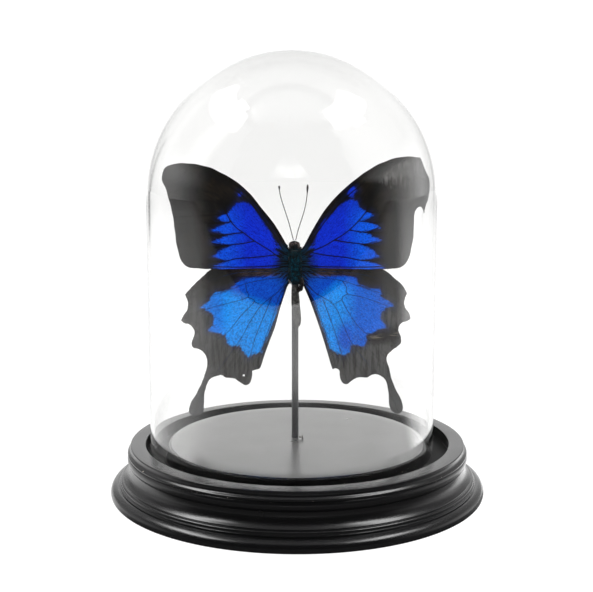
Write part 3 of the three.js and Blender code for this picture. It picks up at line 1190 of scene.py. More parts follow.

# In both, far is a paler blue that is painted reflection on the field.
FOREWING_BLUE = UpperScales(
    "forewing_upper", deep=(0.0002, 0.007, 0.26), bright=(0.0004, 0.030, 0.68), far=(0.0006, 0.105, 0.76),
    root=(0.001, 0.028, 0.060), outer=(0.0195, 0.01911, 0.0182), outer_start=36.0, outer_end=56.0,
    worn=(0.090, 0.088, 0.084))
HINDWING_BLUE = UpperScales(
    "hindwing_upper", deep=(0.0003, 0.026, 0.30), bright=(0.0006, 0.085, 0.60), far=(0.0008, 0.270, 0.86),
    root=(0.001, 0.035, 0.080), outer=(0.0572, 0.0559, 0.0546), outer_start=14.0, outer_end=30.0,
    outer_top=-2.0, outer_low=-24.0, scratches=(170.0, 2600.0), lines=0.38)


def segment_distance(points: np.ndarray, line: np.ndarray) -> np.ndarray:
    """Returns the distance of each point to a polyline.

    Args:
        points: Rows of two coordinates.
        line: The polyline's rows of two coordinates.
    """
    nearest = np.full(len(points), np.inf)
    for start, end in zip(line, line[1:]):
        along = end - start
        share = np.clip(((points - start) @ along) / max(along @ along, 1e-12), 0, 1)
        nearest = np.minimum(nearest, np.linalg.norm(points - start - share[:, None] * along, axis=1))
    return nearest


def inside(points: np.ndarray, outline: np.ndarray) -> np.ndarray:
    """Returns which points lie inside a closed outline.

    Args:
        points: Rows of two coordinates.
        outline: The corners of the outline, not repeated at the end.
    """
    odd = np.zeros(len(points), bool)
    for (x1, y1), (x2, y2) in zip(outline, np.roll(outline, -1, 0)):
        crosses = (y1 > points[:, 1]) != (y2 > points[:, 1])
        with np.errstate(divide="ignore", invalid="ignore"):
            where = x1 + (points[:, 1] - y1) / (y2 - y1) * (x2 - x1)
        odd ^= crosses & (points[:, 0] < where)
    return odd


def closed(outline: np.ndarray) -> np.ndarray:
    """Returns the outline with its first corner repeated at the end."""
    return np.vstack([outline, outline[:1]])


def depth_inside(points: np.ndarray, outline: np.ndarray) -> np.ndarray:
    """Returns how far each point lies inside a closed outline. It is negative outside.

    Args:
        points: Rows of two coordinates.
        outline: The corners of the outline, not repeated at the end.
    """
    distance = segment_distance(points, closed(outline))
    return np.where(inside(points, outline), distance, -distance)


def open_edges(faces: Sequence[Sequence]) -> set[tuple]:
    """Returns the edges that only one face has, each as its start and end in that face."""
    found: set[tuple] = set()
    for face in faces:
        for start, end in zip(face, [*face[1:], face[0]]):
            if (end, start) in found:
                found.remove((end, start))
            else:
                found.add((start, end))
    return found


@dataclass
class Wing:
    """One wing: a thin membrane that fills the CAD node's outline, and the ribs of its veins."""

    node: str
    side: Side
    y: float
    upper: Finish
    lower: Finish
    ribs: Finish
    slot: str
    fields: list[list[Point2]]
    veins: list[list[Point2]]
    holes: list[tuple[float, float, float]] = field(default_factory=list)
    bare: list[list[Point2]] = field(default_factory=list)
    grid: float = 0.42
    thickness: float = 0.12

    def axes(self) -> tuple[np.ndarray, np.ndarray, np.ndarray]:
        """Returns the wing's root, its outward direction and its upper side's normal."""
        sign = self.side.value
        out = np.array([sign * math.cos(WING_TURN), math.sin(WING_TURN), 0.0])
        upper = np.array([sign * math.sin(WING_TURN), -math.cos(WING_TURN), 0.0])
        return np.array([AXIS_X, self.y, WING_ROOT]), out, upper

    def outline(self) -> np.ndarray:
        """Returns the node's outline as smooth points of [out, up], counter-clockwise."""
        mesh = bpy.data.objects[self.node].data
        root, out, upper = self.axes()
        places = np.array([vertex.co for vertex in mesh.vertices]) / MM - root
        flat = np.round(np.stack([places @ out, places[:, 2]], 1), 3)
        return self.frayed(self.smoothed(self.chain(mesh, flat, upper)))

    def chain(self, mesh: bpy.types.Mesh, flat: np.ndarray, upper: np.ndarray) -> np.ndarray:
        """Walks the border of the upper face.

        Args:
            mesh: The node's mesh of loose triangles.
            flat: Its vertices as [out, up].
            upper: Normal of the upper side.

        Returns:
            The border's corners in order, counter-clockwise in [out, up].
        """
        loose = [[tuple(flat[index]) for index in face.vertices] for face in mesh.polygons
                 if np.dot(face.normal, upper) > 0.9]
        following = dict(open_edges(loose))
        start = min(following)
        walk = [start]
        while following[walk[-1]] != start:
            walk.append(following[walk[-1]])
        path = np.array(walk)
        area = np.sum(path[:, 0] * np.roll(path[:, 1], -1) - np.roll(path[:, 0], -1) * path[:, 1])
        return path if area > 0 else path[::-1]

    def smoothed(self, path: np.ndarray) -> np.ndarray:
        """Rounds the outline's smooth stretches and keeps its corners.

        Args:
            path: Corners of the closed outline.

        Returns:
            More points on the same outline.
        """
        count = len(path)
        before, after = path - np.roll(path, 1, 0), np.roll(path, -1, 0) - path
        cross = before[:, 0] * after[:, 1] - before[:, 1] * after[:, 0]
        turn = np.abs(np.arctan2(cross, np.sum(before * after, 1)))
        corner = turn > math.radians(62)
        result = []
        for index in range(count):
            second, third = path[index], path[(index + 1) % count]
            first = second * 2 - third if corner[index] else path[index - 1]
            fourth = third * 2 - second if corner[(index + 1) % count] else path[(index + 2) % count]
            steps = max(1, round(np.linalg.norm(third - second) / (self.grid * 1.3)))
            result += [spline((first, second, third, fourth), share) for share in np.arange(steps) / steps]
        return np.array(result)

    def frayed(self, path: np.ndarray) -> np.ndarray:
        """Returns the outline with its outer margin a little uneven.

        Args:
            path: Points of the closed outline.
        """
        along = np.cumsum(np.linalg.norm(path - np.roll(path, 1, 0), axis=1))
        step = np.roll(path, -1, 0) - np.roll(path, 1, 0)
        outward = np.stack([step[:, 1], -step[:, 0]], 1) / np.linalg.norm(step, axis=1)[:, None]
        uneven = 0.08 * np.sin(4.7 * along) + 0.07 * np.sin(10.9 * along + 1.0)
        return path + (uneven * np.clip((path[:, 0] - 20.0) / 12.0, 0, 1))[:, None] * outward

    def lift(self, flat: np.ndarray) -> np.ndarray:
        """Returns how far the dried membrane stands off its plane, towards the upper side.

        Args:
            flat: Rows of [out, up].
        """
        out, up = flat[:, 0], flat[:, 1]
        waves = 0.22 * np.sin(0.17 * out + 0.10 * up) + 0.12 * np.sin(0.30 * up - 0.12 * out + 1.1)
        curl = -0.8 * np.clip((out - 30) / 25, 0, 1) ** 2
        tail = -1.1 * np.clip((-44 - up) / 19, 0, 1) ** 2
        return (waves + curl) * np.clip((out - 2) / 12, 0, 1) + tail

    def place(self, flat: np.ndarray, above: np.ndarray | float) -> np.ndarray:
        """Returns points of the frame for points of the wing.

        Args:
            flat: Rows of [out, up].
            above: Distance above the membrane's middle, towards the upper side.
        """
        root, out, upper = self.axes()
        off = self.lift(flat) + above
        return root + flat[:, :1] * out + off[:, None] * upper + np.stack([0 * off, 0 * off, flat[:, 1]], 1)

    def triangles(self, outline: np.ndarray) -> tuple[np.ndarray, list[tuple[int, int, int]]]:
        """Fills the outline with an even net of triangles.

        Args:
            outline: The wing's outline.

        Returns:
            The net's points of [out, up] and its triangles.
        """
        low, high = outline.min(0), outline.max(0)
        columns = np.arange(low[0], high[0], self.grid)
        rows = np.arange(low[1], high[1], self.grid * math.sqrt(3) / 2)
        net = np.array([(x + (index % 2) * self.grid / 2, y)
                        for index, y in enumerate(rows) for x in columns])
        net = net[inside(net, outline)]
        net = net[segment_distance(net, closed(outline)) > self.grid * 0.45]
        count = len(outline)
        edges = [(index, (index + 1) % count) for index in range(count)]
        points = [Vector(point) for point in np.vstack([outline, net])]
        made, _, faces, *_ = delaunay_2d_cdt(points, edges, [], 0, 1e-5, False)
        flat = np.array([(point.x, point.y) for point in made])
        kept = [tuple(face) for face in faces]
        centres = np.array([flat[list(face)].mean(0) for face in kept])
        solid = inside(centres, outline)
        for out, up, radius in self.holes:
            solid &= np.linalg.norm(centres - np.array([out, up]), axis=1) > radius
        return flat, [face for face, keep in zip(kept, solid) if keep]

    def build_membrane(self) -> Piece:
        """Builds and dresses the membrane, and returns it."""
        outline = self.outline()
        flat, faces = self.triangles(outline)
        a, b, c = (flat[[face[corner] for face in faces]] for corner in range(3))
        clockwise = (b[:, 0] - a[:, 0]) * (c[:, 1] - a[:, 1]) - (b[:, 1] - a[:, 1]) * (c[:, 0] - a[:, 0]) < 0
        faces = [face[::-1] if flip else face for face, flip in zip(faces, clockwise)]
        count = len(flat)
        # A counter-clockwise face shows its upper side on the right wing, and its lower side on the left.
        top = faces if self.side is Side.RIGHT else [face[::-1] for face in faces]
        bottom = [tuple(index + count for index in face[::-1]) for face in top]
        rim = [(end, start, start + count, end + count) for start, end in sorted(open_edges(top))]
        half = self.thickness / 2
        points = np.vstack([self.place(flat, half), self.place(flat, -half)])
        piece = make_object(self.node + "_membrane", points, [*top, *bottom, *rim], 70.0)
        self.mark(piece, np.vstack([flat, flat]), outline)
        # Slot 0 holds the upper finish, which the rim has too, and slot 1 the lower one.
        slots = [0] * len(top) + [1] * len(bottom) + [0] * len(rim)
        dress(piece, self.slot, [self.node], self.upper, self.lower)
        piece.data.polygons.foreach_set("material_index", slots)
        return piece

    def mark(self, piece: Piece, flat: np.ndarray, outline: np.ndarray) -> None:
        """Stores on the vertices what the finishes read.

        Args:
            piece: The membrane.
            flat: Its vertices as [out, up].
            outline: The wing's outline.
        """
        far_off = np.full(len(flat), 9.0)
        worn = [far_off, *(-depth_inside(flat, np.array(shape)) for shape in self.bare)]
        store(piece, "field", np.max([depth_inside(flat, np.array(shape)) for shape in self.fields], axis=0))
        veins = [segment_distance(flat, smooth_path(line, 24)) for line in self.veins]
        store(piece, "vein", np.min(veins, axis=0))
        store(piece, "worn", np.min(worn, axis=0))
        store(piece, "edge", segment_distance(flat, closed(outline)))
        store(piece, "bearing", np.arctan2(flat[:, 1] - 2.0, flat[:, 0] + 2.0))
        store(piece, "reach", np.hypot(flat[:, 0], flat[:, 1] - 1.0))
        store(piece, "up", flat[:, 1])
        # The share of the paler blue is painted reflection.
        store(piece, "glow", self.glow(flat[:, 0], flat[:, 1]))

    def glow(self, out: np.ndarray, up: np.ndarray) -> np.ndarray:
        """Returns the share of the paler blue.

        It is painted reflection, at the outer end of a forewing's field and in the lower part of a
        hindwing's.

        Args:
            out: Distances out from the insect's axis.
            up: Heights over the wing root.
        """
        if self.slot == "forewing_scales":
            most = 0.85 if self.side is Side.RIGHT else 0.55
            return most * np.clip((out - 20.0) / 8.0, 0, 1) * np.clip((32.0 - up) / 12.0, 0.2, 1)
        if self.side is Side.LEFT:
            share = np.clip((-5.5 - 0.36 * (33.0 - out) - up) / 5.0, 0, 1)
            return share * np.clip((36.0 - out) / 8.0, 0.5, 1)
        share = np.clip((-4.0 - 0.9 * np.clip(17.0 - out, 0, 17) - up) / 6.0, 0, 1)
        share *= np.clip((28.0 - out) / 9.0, 0.2, 1)
        patch = np.hypot((out - 21.0) / 3.2, (up + 29.5) / 5.5)
        return share * (1.0 - 0.85 * np.clip(1.6 - patch, 0, 1))

    def build_veins(self) -> Piece:
        """Builds the ribs of the veins on both sides of the membrane, and returns them."""
        outline = self.outline()
        points, edges, girths = [], [], []
        for line in self.veins:
            path = smooth_path(line, 26)
            within = inside(path, outline)
            first = len(points)
            points += list(self.place(path, 0.0))
            edges += [(first + index, first + index + 1) for index in range(len(path) - 1)
                      if within[index] and within[index + 1]]
            girths += list(np.linspace(1.0, 0.45, len(path)))
        mesh = bpy.data.meshes.new(self.node + "_vein_lines")
        mesh.from_pydata((np.array(points) * MM).tolist(), edges, [])
        lines = bpy.data.objects.new(mesh.name, mesh)
        store(lines, "girth", np.array(girths))
        piece = WING_VEIN.grow(lines, self.node + "_veins", self.ribs, radius=0.12 * MM)
        bpy.data.objects.remove(lines)
        return dress(piece, self.slot, [], self.ribs)


FOREWING_RIB = Chitin("forewing_vein_shell", (0.0035, 0.003, 0.003), (0.007, 0.006, 0.005), 0.6, 0.08)
HINDWING_RIB = Chitin("hindwing_vein_shell", (0.004, 0.012, 0.045), (0.004, 0.030, 0.12), 0.6, 0.08)

FOREWING_LEFT_FIELD = [
    (6.5, 5.1), (8.1, 10.6), (9.7, 14.1), (12.1, 17.3), (14.4, 20.6), (16.8, 24.2), (18.8, 26.5),
    (21.3, 27.4),
    (23.7, 26.9), (25.5, 25.2), (26.8, 23.4), (28, 22.5), (30.1, 22), (31.9, 20.7), (29.4, 19.4),
    (26.9, 18.7),
    (31.0, 17.4), (34.2, 15.7), (30.4, 14.8), (28.0, 14.2), (25.2, 14), (28.9, 13.2), (31.7, 12),
    (34.5, 10.8),
    (30.3, 10.2), (26, 9.4), (30.3, 7.6), (32.3, 6.3), (34.2, 5), (31.5, 3.9), (29.8, 3.2), (27.6, 2.8),
    (31.4, 1.7), (34, 0.2), (30.6, -0.5), (27, -0.8), (18.7, -0.8), (10.4, -0.6), (6.5, 0.7),
]
FOREWING_LEFT_SPOT = [(22.2, 31), (23.1, 31), (23.3, 30.2), (22.7, 29.7), (22, 30.2)]
FOREWING_LEFT_VEINS = [
    [(3, 2.6), (5, 3.4), (9.8, 7), (13.9, 9.6), (17.4, 11.7), (21, 14.5), (24.5, 17), (26.8, 19.9),
     (28.3, 22.9)],
    [(21.6, 14.7), (24.5, 14.5), (28.1, 14), (34, 13.4), (49.4, 15.7)],
    [(16.6, 11.3), (22.2, 10.2), (28.1, 9.6), (34.1, 8.7), (48.9, 10)],
    [(8, 5.6), (16.3, 4.6), (24.6, 3.9), (30.6, 2.8), (47.2, 3.8)],
    [(28.3, 22.9), (31.5, 22.2), (51.1, 21)],
    [(26.8, 19.9), (29, 18.9), (50.4, 18.2)],
    [(28.3, 22.9), (33.1, 27.3), (53.3, 29.3)],
    [(28.3, 22.9), (32.1, 30.3), (53.6, 34.4)],
    [(4, 6.5), (9.8, 15.6), (16.2, 24.6), (24.4, 32.1), (36.1, 38.6), (52.6, 38.9)],
    [(3.5, 8.2), (9.2, 17.8), (18.4, 29.2), (30, 38), (40.3, 41.8), (47, 42.4)],
    [(3, 1.6), (10, 1), (22, 0.4), (36, 0.6), (45, 1.4)],
]
FOREWING_RIGHT_FIELD = [
    (6.2, 6.1), (8, 9.4), (8.6, 12.9), (10.1, 16.5), (12.4, 19.9), (15.8, 22.8), (18.2, 25.6), (20.5, 27.4),
    (23.3, 28.5), (25.8, 27.5), (26.3, 25.2), (27.9, 24.1), (30, 23.3), (32.6, 21.8), (29.8, 20.6),
    (27, 19.9),
    (31.8, 18.6), (35, 17), (30.8, 15.9), (26.6, 15.1), (30.8, 13.9), (35.7, 11.5), (30.8, 10.5), (26.7, 9.9),
    (30.8, 8.1), (32.9, 6.8), (34.9, 5), (31.4, 3.8), (28.1, 3.1), (33, 1.8), (37.2, 0.2), (31.1, -0.6),
    (21.6, -0.8), (12.7, -0.6), (5.6, 0.9),
]
FOREWING_RIGHT_SPOT = [
    (21.7, 31.1), (22.9, 33.3), (24.6, 33.6), (25.4, 32), (24.3, 31.1), (23.8, 29.4), (22.3, 29.8),
]
FOREWING_RIGHT_VEINS = [
    [(3, 4.4), (6.8, 7), (12.1, 9.3), (16.2, 11.7), (19.2, 13.5), (22.4, 15.8), (26.2, 19.6), (29.4, 23.5)],
    [(26.2, 19.6), (30.1, 19.2), (33.3, 18.9), (48.7, 21)],
    [(22.4, 15.8), (28, 15), (34.5, 14.7), (48.8, 15.7)],
    [(16.2, 11.7), (21.5, 10.8), (28.4, 10), (34.6, 9.1), (48.3, 10.4)],
    [(6.8, 6.6), (13.9, 5.3), (21.6, 4.4), (29.9, 3), (45.4, 3.4)],
    [(29.4, 23.5), (33, 23.2), (49.4, 24.4)],
    [(29.4, 23.5), (34, 28), (54.6, 30)],
    [(29.4, 23.5), (33, 31), (54.6, 35.4)],
    [(4, 6.8), (10.2, 16.4), (17.4, 25.6), (25.8, 33.4), (36.1, 40.2), (52, 42.2)],
    [(3.6, 8.1), (8.4, 16.4), (16.4, 27.2), (25.8, 36), (36, 42.2), (47.6, 44.8)],
    [(3, 1.2), (10, 0.8), (22, 0.4), (34, 0.5), (44, 1.4)],
]
HINDWING_LEFT_FIELD = [
    (4.5, -3.1), (8, -3.3), (14, -3.7), (19.3, -4.1), (22.9, -5.2), (25.2, -7.2), (27.1, -9), (30.1, -10),
    (33.2, -10.1), (34.6, -11.6), (36.2, -14.2), (39.6, -16.8), (36.7, -18), (34.8, -19.1), (33.7, -21.2),
    (34.7, -24.2), (36.6, -26.7), (32.7, -27.2), (28.8, -28.5), (28.4, -31.4), (26.6, -33.1), (23.5, -32.6),
    (22.4, -34.2), (19.6, -38), (17.6, -36.2), (14.1, -35.5), (13.9, -33.7), (12.1, -29.4), (10.3, -25.5),
    (8.8, -21.5), (7.3, -16.7), (5.4, -11.2), (3.6, -6.4),
]
HINDWING_LEFT_VEINS = [
    [(3, -3.4), (11.6, -4.6), (20.6, -6.5), (26.5, -9), (34.3, -11.4), (44.6, -12.4)],
    [(20.6, -6.5), (20.2, -9.5), (19.7, -12.2), (28.4, -15), (37.4, -17.5), (46.6, -21.8)],
    [(19.7, -12.2), (17, -14), (22.4, -19.8), (28.5, -27.2), (34.6, -31), (42.4, -33)],
    [(3, -5), (7.6, -10.4), (14, -15.5), (18.9, -22.8), (23.7, -31.4), (32.9, -44), (40.4, -55.6),
     (42.9, -62)],
    [(17, -14), (14, -15.5)],
    [(9.8, -12.4), (14.1, -22.8), (17.7, -32.6), (20.9, -48)],
    [(4, -6.4), (6.9, -12.7), (9.3, -20.8), (13, -31.3), (16, -41.6)],
    [(3, -2), (14, -1.4), (26, -2.4), (36, -6), (43.4, -10.6)],
]
HINDWING_RIGHT_FIELD = [
    (5, -2.8), (9.5, -3.5), (13.6, -3.5), (19.6, -3.2), (25.5, -4), (26.3, -7.2), (31, -8.9), (35.3, -8.9),
    (36.1, -10.4), (35.8, -12.2), (41.4, -16.1), (38.2, -16.9), (36.1, -18.7), (35.7, -21.7), (38.5, -25.2),
    (35.3, -25.7), (32.4, -27.3), (29.7, -27.9), (29.7, -31.4), (28.8, -33), (25.9, -32.7), (23.7, -32.4),
    (23, -35.4), (20.5, -37), (18.1, -36.2), (17.3, -35.3), (14.4, -33.9), (14.4, -33.1), (12.7, -27.6),
    (10.9, -22.8), (8.5, -15.5), (6.3, -9.4), (4.6, -5.8),
]
HINDWING_RIGHT_VEINS = [
    [(3, -3.4), (11.6, -4.2), (19.6, -5.3), (26.2, -7.5), (35.8, -10.5), (45.4, -11.2)],
    [(19.6, -5.3), (21.4, -8), (22, -10.8), (28.6, -12.4), (38.8, -16.3), (47.2, -21)],
    [(22, -10.8), (19.6, -13.1), (23.9, -21), (29.3, -27.2), (36, -29.5), (43.4, -32.6)],
    [(3, -5), (8.6, -10.4), (16.1, -15.3), (20.3, -24), (24, -32), (33.7, -44.6), (41.2, -55.6),
     (43.9, -61.6)],
    [(19.6, -13.1), (16.1, -15.3)],
    [(11.6, -13.1), (16.1, -25.2), (19.4, -36.2), (21.7, -47.8)],
    [(4, -6.6), (8.4, -14.7), (11.9, -24.6), (15, -33.1), (16.9, -41.2)],
    [(3, -2), (14, -1.4), (26, -2.4), (36, -5.2), (43.6, -9.6)],
]
FOREWING_RIGHT_WORN = [(34, 35.5), (40, 42.6), (52, 45.5), (55.5, 38), (47, 33.5), (39, 33)]
HINDWING_RIGHT_WORN = [(30, -29), (36, -27.8), (43.8, -26.7), (43.2, -29.1), (36, -30.3), (30, -29.6)]


def make_wings() -> list[Wing]:
    """Returns the four wings."""
    fore, hind = LowerScales("forewing_lower", crescents=False), LowerScales("hindwing_lower")
    forewing_y, hindwing_y = -5.0, -4.4
    return [
        Wing("forewing_left", Side.LEFT, forewing_y, FOREWING_BLUE, fore, FOREWING_RIB, "forewing_scales",
             [FOREWING_LEFT_FIELD, FOREWING_LEFT_SPOT], FOREWING_LEFT_VEINS),
        Wing("forewing_right", Side.RIGHT, forewing_y, FOREWING_BLUE, fore, FOREWING_RIB, "forewing_scales",
             [FOREWING_RIGHT_FIELD, FOREWING_RIGHT_SPOT], FOREWING_RIGHT_VEINS, bare=[FOREWING_RIGHT_WORN]),
        Wing("hindwing_left", Side.LEFT, hindwing_y, HINDWING_BLUE, hind, HINDWING_RIB, "hindwing_scales",
             [HINDWING_LEFT_FIELD], HINDWING_LEFT_VEINS, holes=[(21.7, -45.6, 0.42)]),
        Wing("hindwing_right", Side.RIGHT, hindwing_y, HINDWING_BLUE, hind, HINDWING_RIB, "hindwing_scales",
             [HINDWING_RIGHT_FIELD], HINDWING_RIGHT_VEINS, bare=[HINDWING_RIGHT_WORN]),
    ]


# ---- Body


@dataclass
class Body:
    """Head, thorax, abdomen, antennae and legs of the butterfly, with their hair."""

    x: float = AXIS_X
    y: float = -4.3
    z: float = WING_ROOT
    thorax_rings: tuple[Point2, ...] = (
        (-6.5, 0.0), (-6.1, 1.5), (-4.6, 2.3), (-1.5, 2.6), (2.0, 2.65), (4.8, 2.65), (6.4, 2.6),
        (7.3, 2.2), (7.5, 0.0))
    abdomen_length: float = 18.2
    abdomen_segments: int = 8
    antennae: dict[str, list[Point3]] = field(default_factory=lambda: {
        "antenna_left": [(-1.6, -5.2, 106.9), (-3.5, -5.6, 114.2), (-6.3, -5.6, 122.9), (-7.2, -5.4, 126.6),
                         (-7.4, -5.2, 129)],
        "antenna_right": [(-0.6, -5.2, 106.9), (0.4, -5.6, 111), (2.9, -5.6, 119), (3.9, -5.4, 124.2),
                          (4.3, -5.2, 129.5)],
    })
    legs: dict[str, list[Point3]] = field(default_factory=lambda: {
        "leg_front_left": [(-3.7, -2.2, 99.6), (-4.3, -0.8, 98.2), (-4.1, 0.2, 95.6), (-3.4, 0.8, 98.4)],
        "leg_middle_left": [(-3.9, -2, 96.2), (-4.5, -0.6, 93.8), (-4, 0.4, 91.2), (-3.3, 0.9, 94.2)],
        "leg_hind_left": [(-3.6, -1.9, 92), (-4, -1, 89.8), (-3.6, -0.2, 88), (-3.2, 0.6, 90.6)],
        "leg_front_right": [(1.9, -2.2, 99.6), (2.5, -0.8, 98.2), (2.3, 0.2, 95.6), (1.6, 0.8, 98.4)],
        "leg_middle_right": [(2.1, -2, 96.2), (2.7, -0.6, 93.8), (2.2, 0.4, 91.2), (1.5, 0.9, 94.2)],
        "leg_hind_right": [(1.85, -5.2, 91), (2.25, -5.25, 89), (2.05, -5.25, 86.7), (0.8, -5, 85.9)],
    })
    hairy_legs: tuple[str, ...] = ("leg_hind_right",)

    def build(self) -> list[Piece]:
        """Builds every piece of the body, and returns them."""
        made = [*self.build_head(), *self.build_thorax(), *self.build_abdomen()]
        made += [self.build_antenna(name, points) for name, points in self.antennae.items()]
        made += [self.build_leg(name, points) for name, points in self.legs.items()]
        return made

    def hairy(self, skin: Piece, finish: Finish, lean: Point3, density: float, length: float,
              spots: Sequence[tuple[Point3, float]] = ()) -> Piece:
        """Grows hair on a piece of the body.

        Args:
            skin: The piece.
            finish: The hair's material.
            lean: The direction in which the hair lies.
            density: Hairs for each square millimetre.
            length: Length of the longest hairs, in millimetres.
            spots: Middle and radius of the patches that carry the hair. All over if left out.

        Returns:
            The hair, dressed.
        """
        places = np.array([vertex.co for vertex in skin.data.vertices]) / MM
        grow = np.zeros(len(places)) if spots else np.ones(len(places))
        for middle, radius in spots:
            away = np.linalg.norm(places - np.array(middle), axis=1)
            grow = np.maximum(grow, np.clip(1.6 - 1.6 * away / radius, 0, 1))
        for name in ("grow", "lean"):
            if name in skin.data.attributes:
                skin.data.attributes.remove(skin.data.attributes[name])
        store(skin, "grow", grow)
        store(skin, "lean", np.tile(lean, (len(places), 1)))
        hair = SHORT_HAIR.grow(skin, skin.name + "_" + finish.name, finish,
                               density=density / MM**2, length=length * MM, radius=0.035 * MM)
        return dress(hair, "dark_chitin", [], finish)

    def build_head(self) -> list[Piece]:
        """Builds the skull with its palps and proboscis, the eyes and the hair."""
        x, y, z = self.x - 0.3, self.y, self.z + 9.6
        shapes = [ball((1.7, 1.55, 1.85), (x, y, z)), ball((1.5, 1.2, 0.9), (x, y + 0.1, z - 1.3), 20, 12)]
        for side in (-1, 1):
            palp = smooth_path([(x + side * 0.5, y + 0.6, z - 0.6), (x + side * 0.6, y + 1.3, z + 0.3),
                                (x + side * 0.55, y + 1.5, z + 1.3)], 9)
            shapes.append(sweep(palp, np.array([0.3, 0.42, 0.46, 0.46, 0.42, 0.38, 0.32, 0.24, 0.14]), 10))
        steps = 60
        angles = np.linspace(0, 5.2 * math.pi, steps)
        coil = 0.25 + 0.055 * angles
        spiral = np.array([x, y + 1.75, z - 1.1]) + np.stack(
            [np.zeros(steps), coil * np.cos(angles), coil * np.sin(angles)], 1)
        shapes.append(sweep(spiral, np.linspace(0.07, 0.13, steps), 6))
        skull = make_object("head_shell", *gather(*shapes))
        eyes = make_object("compound_eyes", *gather(
            *(ball((1.05, 1.2, 1.55), (x + side * 1.3, y + 0.1, z - 0.05)) for side in (-1, 1))))
        hair = self.hairy(skull, TEAL_BLACK_HAIR, (0.0, -0.1, -0.5), 26.0, 0.65)
        pale = self.hairy(skull, PALE_PINK_HAIR, (0.2, -0.4, 0.1), 150.0, 0.5,
                          [((x - 0.75, y - 1.3, z + 0.75), 0.75), ((x + 0.55, y - 1.3, z + 0.95), 0.5)])
        dress(skull, "dark_chitin", ["head"], HEAD_SHELL)
        dress(eyes, "dark_chitin", [], EyeFacets())
        return [skull, eyes, hair, pale]

    def build_thorax(self) -> list[Piece]:
        """Builds the thorax and its hair."""
        path = smooth_path(self.thorax_rings, 40)
        points = [(self.x, self.y, self.z + 0.2 + height) for height in path[:, 0]]
        shape = sweep(np.array(points), np.clip(path[:, 1], 0.05, None), 36, 1.16)
        collar = [ball((1.15, 1.5, 0.95), (self.x + side * 1.5, self.y - 0.2, self.z + 7.55), 18, 12)
                  for side in (-1, 1)]
        thorax = make_object("thorax_shell", *gather(shape, *collar))
        x, y, z = self.x, self.y, self.z
        rows = [((x + off, y - 3.0, z + up), 0.8)
                for off in (-1.2, 0.1, 1.2) for up in (-4, -2.6, -1.2, 0.2, 1.6, 3, 4.4)]
        shoulders = [((x + side * 2.2, y, z + 7.6), 1.7) for side in (-1, 1)]
        flanks = [((x + side * 2.6, y - 0.8, z + up), 1.1) for side in (-1, 1) for up in (4.2, -0.4)]
        hair = [
            self.hairy(thorax, TEAL_BLACK_HAIR, (0.0, -0.1, -0.8), 26.0, 1.25),
            self.hairy(thorax, TEAL_HAIR, (0.0, -0.3, -1.6), 34.0, 1.3, rows),
            self.hairy(thorax, BLACK_COLLAR_HAIR, (0.0, 0.0, 0.9), 40.0, 1.3, shoulders),
            self.hairy(thorax, BROWN_HAIR, (0.0, -0.2, -1.0), 30.0, 1.1, flanks),
            self.hairy(thorax, PALE_PINK_HAIR, (-0.4, -0.1, -0.9), 60.0, 1.0,
                       [((x - 2.1, y - 0.6, z - 5.2), 0.9)]),
            self.hairy(thorax, BLACK_COLLAR_HAIR, (0.5, 0.0, -1.4), 40.0, 1.6,
                       [((x + 1.7, y - 1.0, z - 5.4), 1.6)]),
        ]
        return [dress(thorax, "dark_chitin", ["thorax"], THORAX_SHELL), *hair]

    def build_abdomen(self) -> list[Piece]:
        """Builds the abdomen with its rings and hair."""
        steps = 90
        down = np.linspace(0.0, 1.0, steps)
        outline = smooth_path([(0, 0.5), (0.08, 1.3), (0.3, 1.55), (0.55, 1.68), (0.74, 1.72), (0.88, 1.4),
                               (0.96, 0.85), (1.0, 0.3)], 200)
        girth = np.interp(down, outline[:, 0], outline[:, 1])
        ridges = 1.0 - 0.05 * np.clip(np.cos(2 * math.pi * down * self.abdomen_segments), 0.6, 1) ** 3
        x = self.x + 1.3 * down**2
        y = self.y + 0.3 + 0.9 * np.sqrt(down)
        z = self.z - 6.6 - self.abdomen_length * down
        abdomen = make_object("abdomen_shell", *sweep(np.stack([x, y, z], 1), girth * ridges, 32))
        hair = self.hairy(abdomen, DARK_HAIR, (0.0, 0.0, -1.0), 18.0, 0.7)
        tuft = self.hairy(abdomen, BLACK_COLLAR_HAIR, (1.2, 0.0, -0.9), 60.0, 1.6,
                          [((self.x + 1.4, self.y, self.z + drop), 1.3) for drop in (-7.0, -8.2)])
        return [dress(abdomen, "dark_chitin", ["abdomen"], ABDOMEN_SHELL), hair, tuft]

    def build_antenna(self, name: str, points: list[Point3]) -> Piece:
        """Builds and dresses a ringed thread that swells to a slim club, and returns it.

        Args:
            name: The CAD node.
            points: The thread's path.
        """
        steps = 150
        path = smooth_path(points, steps)
        along = np.linspace(0.0, 1.0, steps)
        swell = np.clip((along - 0.80) / 0.14, 0, 1)
        club = swell * swell * (3 - 2 * swell) * np.clip((1.02 - along) / 0.06, 0.35, 1)
        rings = 1.0 + 0.10 * np.sin(along * 2 * math.pi * 36)
        radii = (0.17 + 0.26 * club) * rings
        piece = make_object(name + "_thread", *sweep(path, radii, 8), 60.0)
        return dress(piece, "dark_chitin", [name], Chitin())

    def build_leg(self, name: str, points: list[Point3]) -> Piece:
        """Builds and dresses a folded leg with a swelling at each joint, and returns it.

        Args:
            name: The CAD node.
            points: The leg's joints.
        """
        path = smooth_path(points, 30)
        along = np.linspace(0.0, 1.0, 30)
        radii = 0.36 - 0.16 * along + 0.10 * np.exp(-((along - 0.36) / 0.08) ** 2)
        radii += 0.08 * np.exp(-((along - 0.68) / 0.07) ** 2)
        if name in self.hairy_legs:
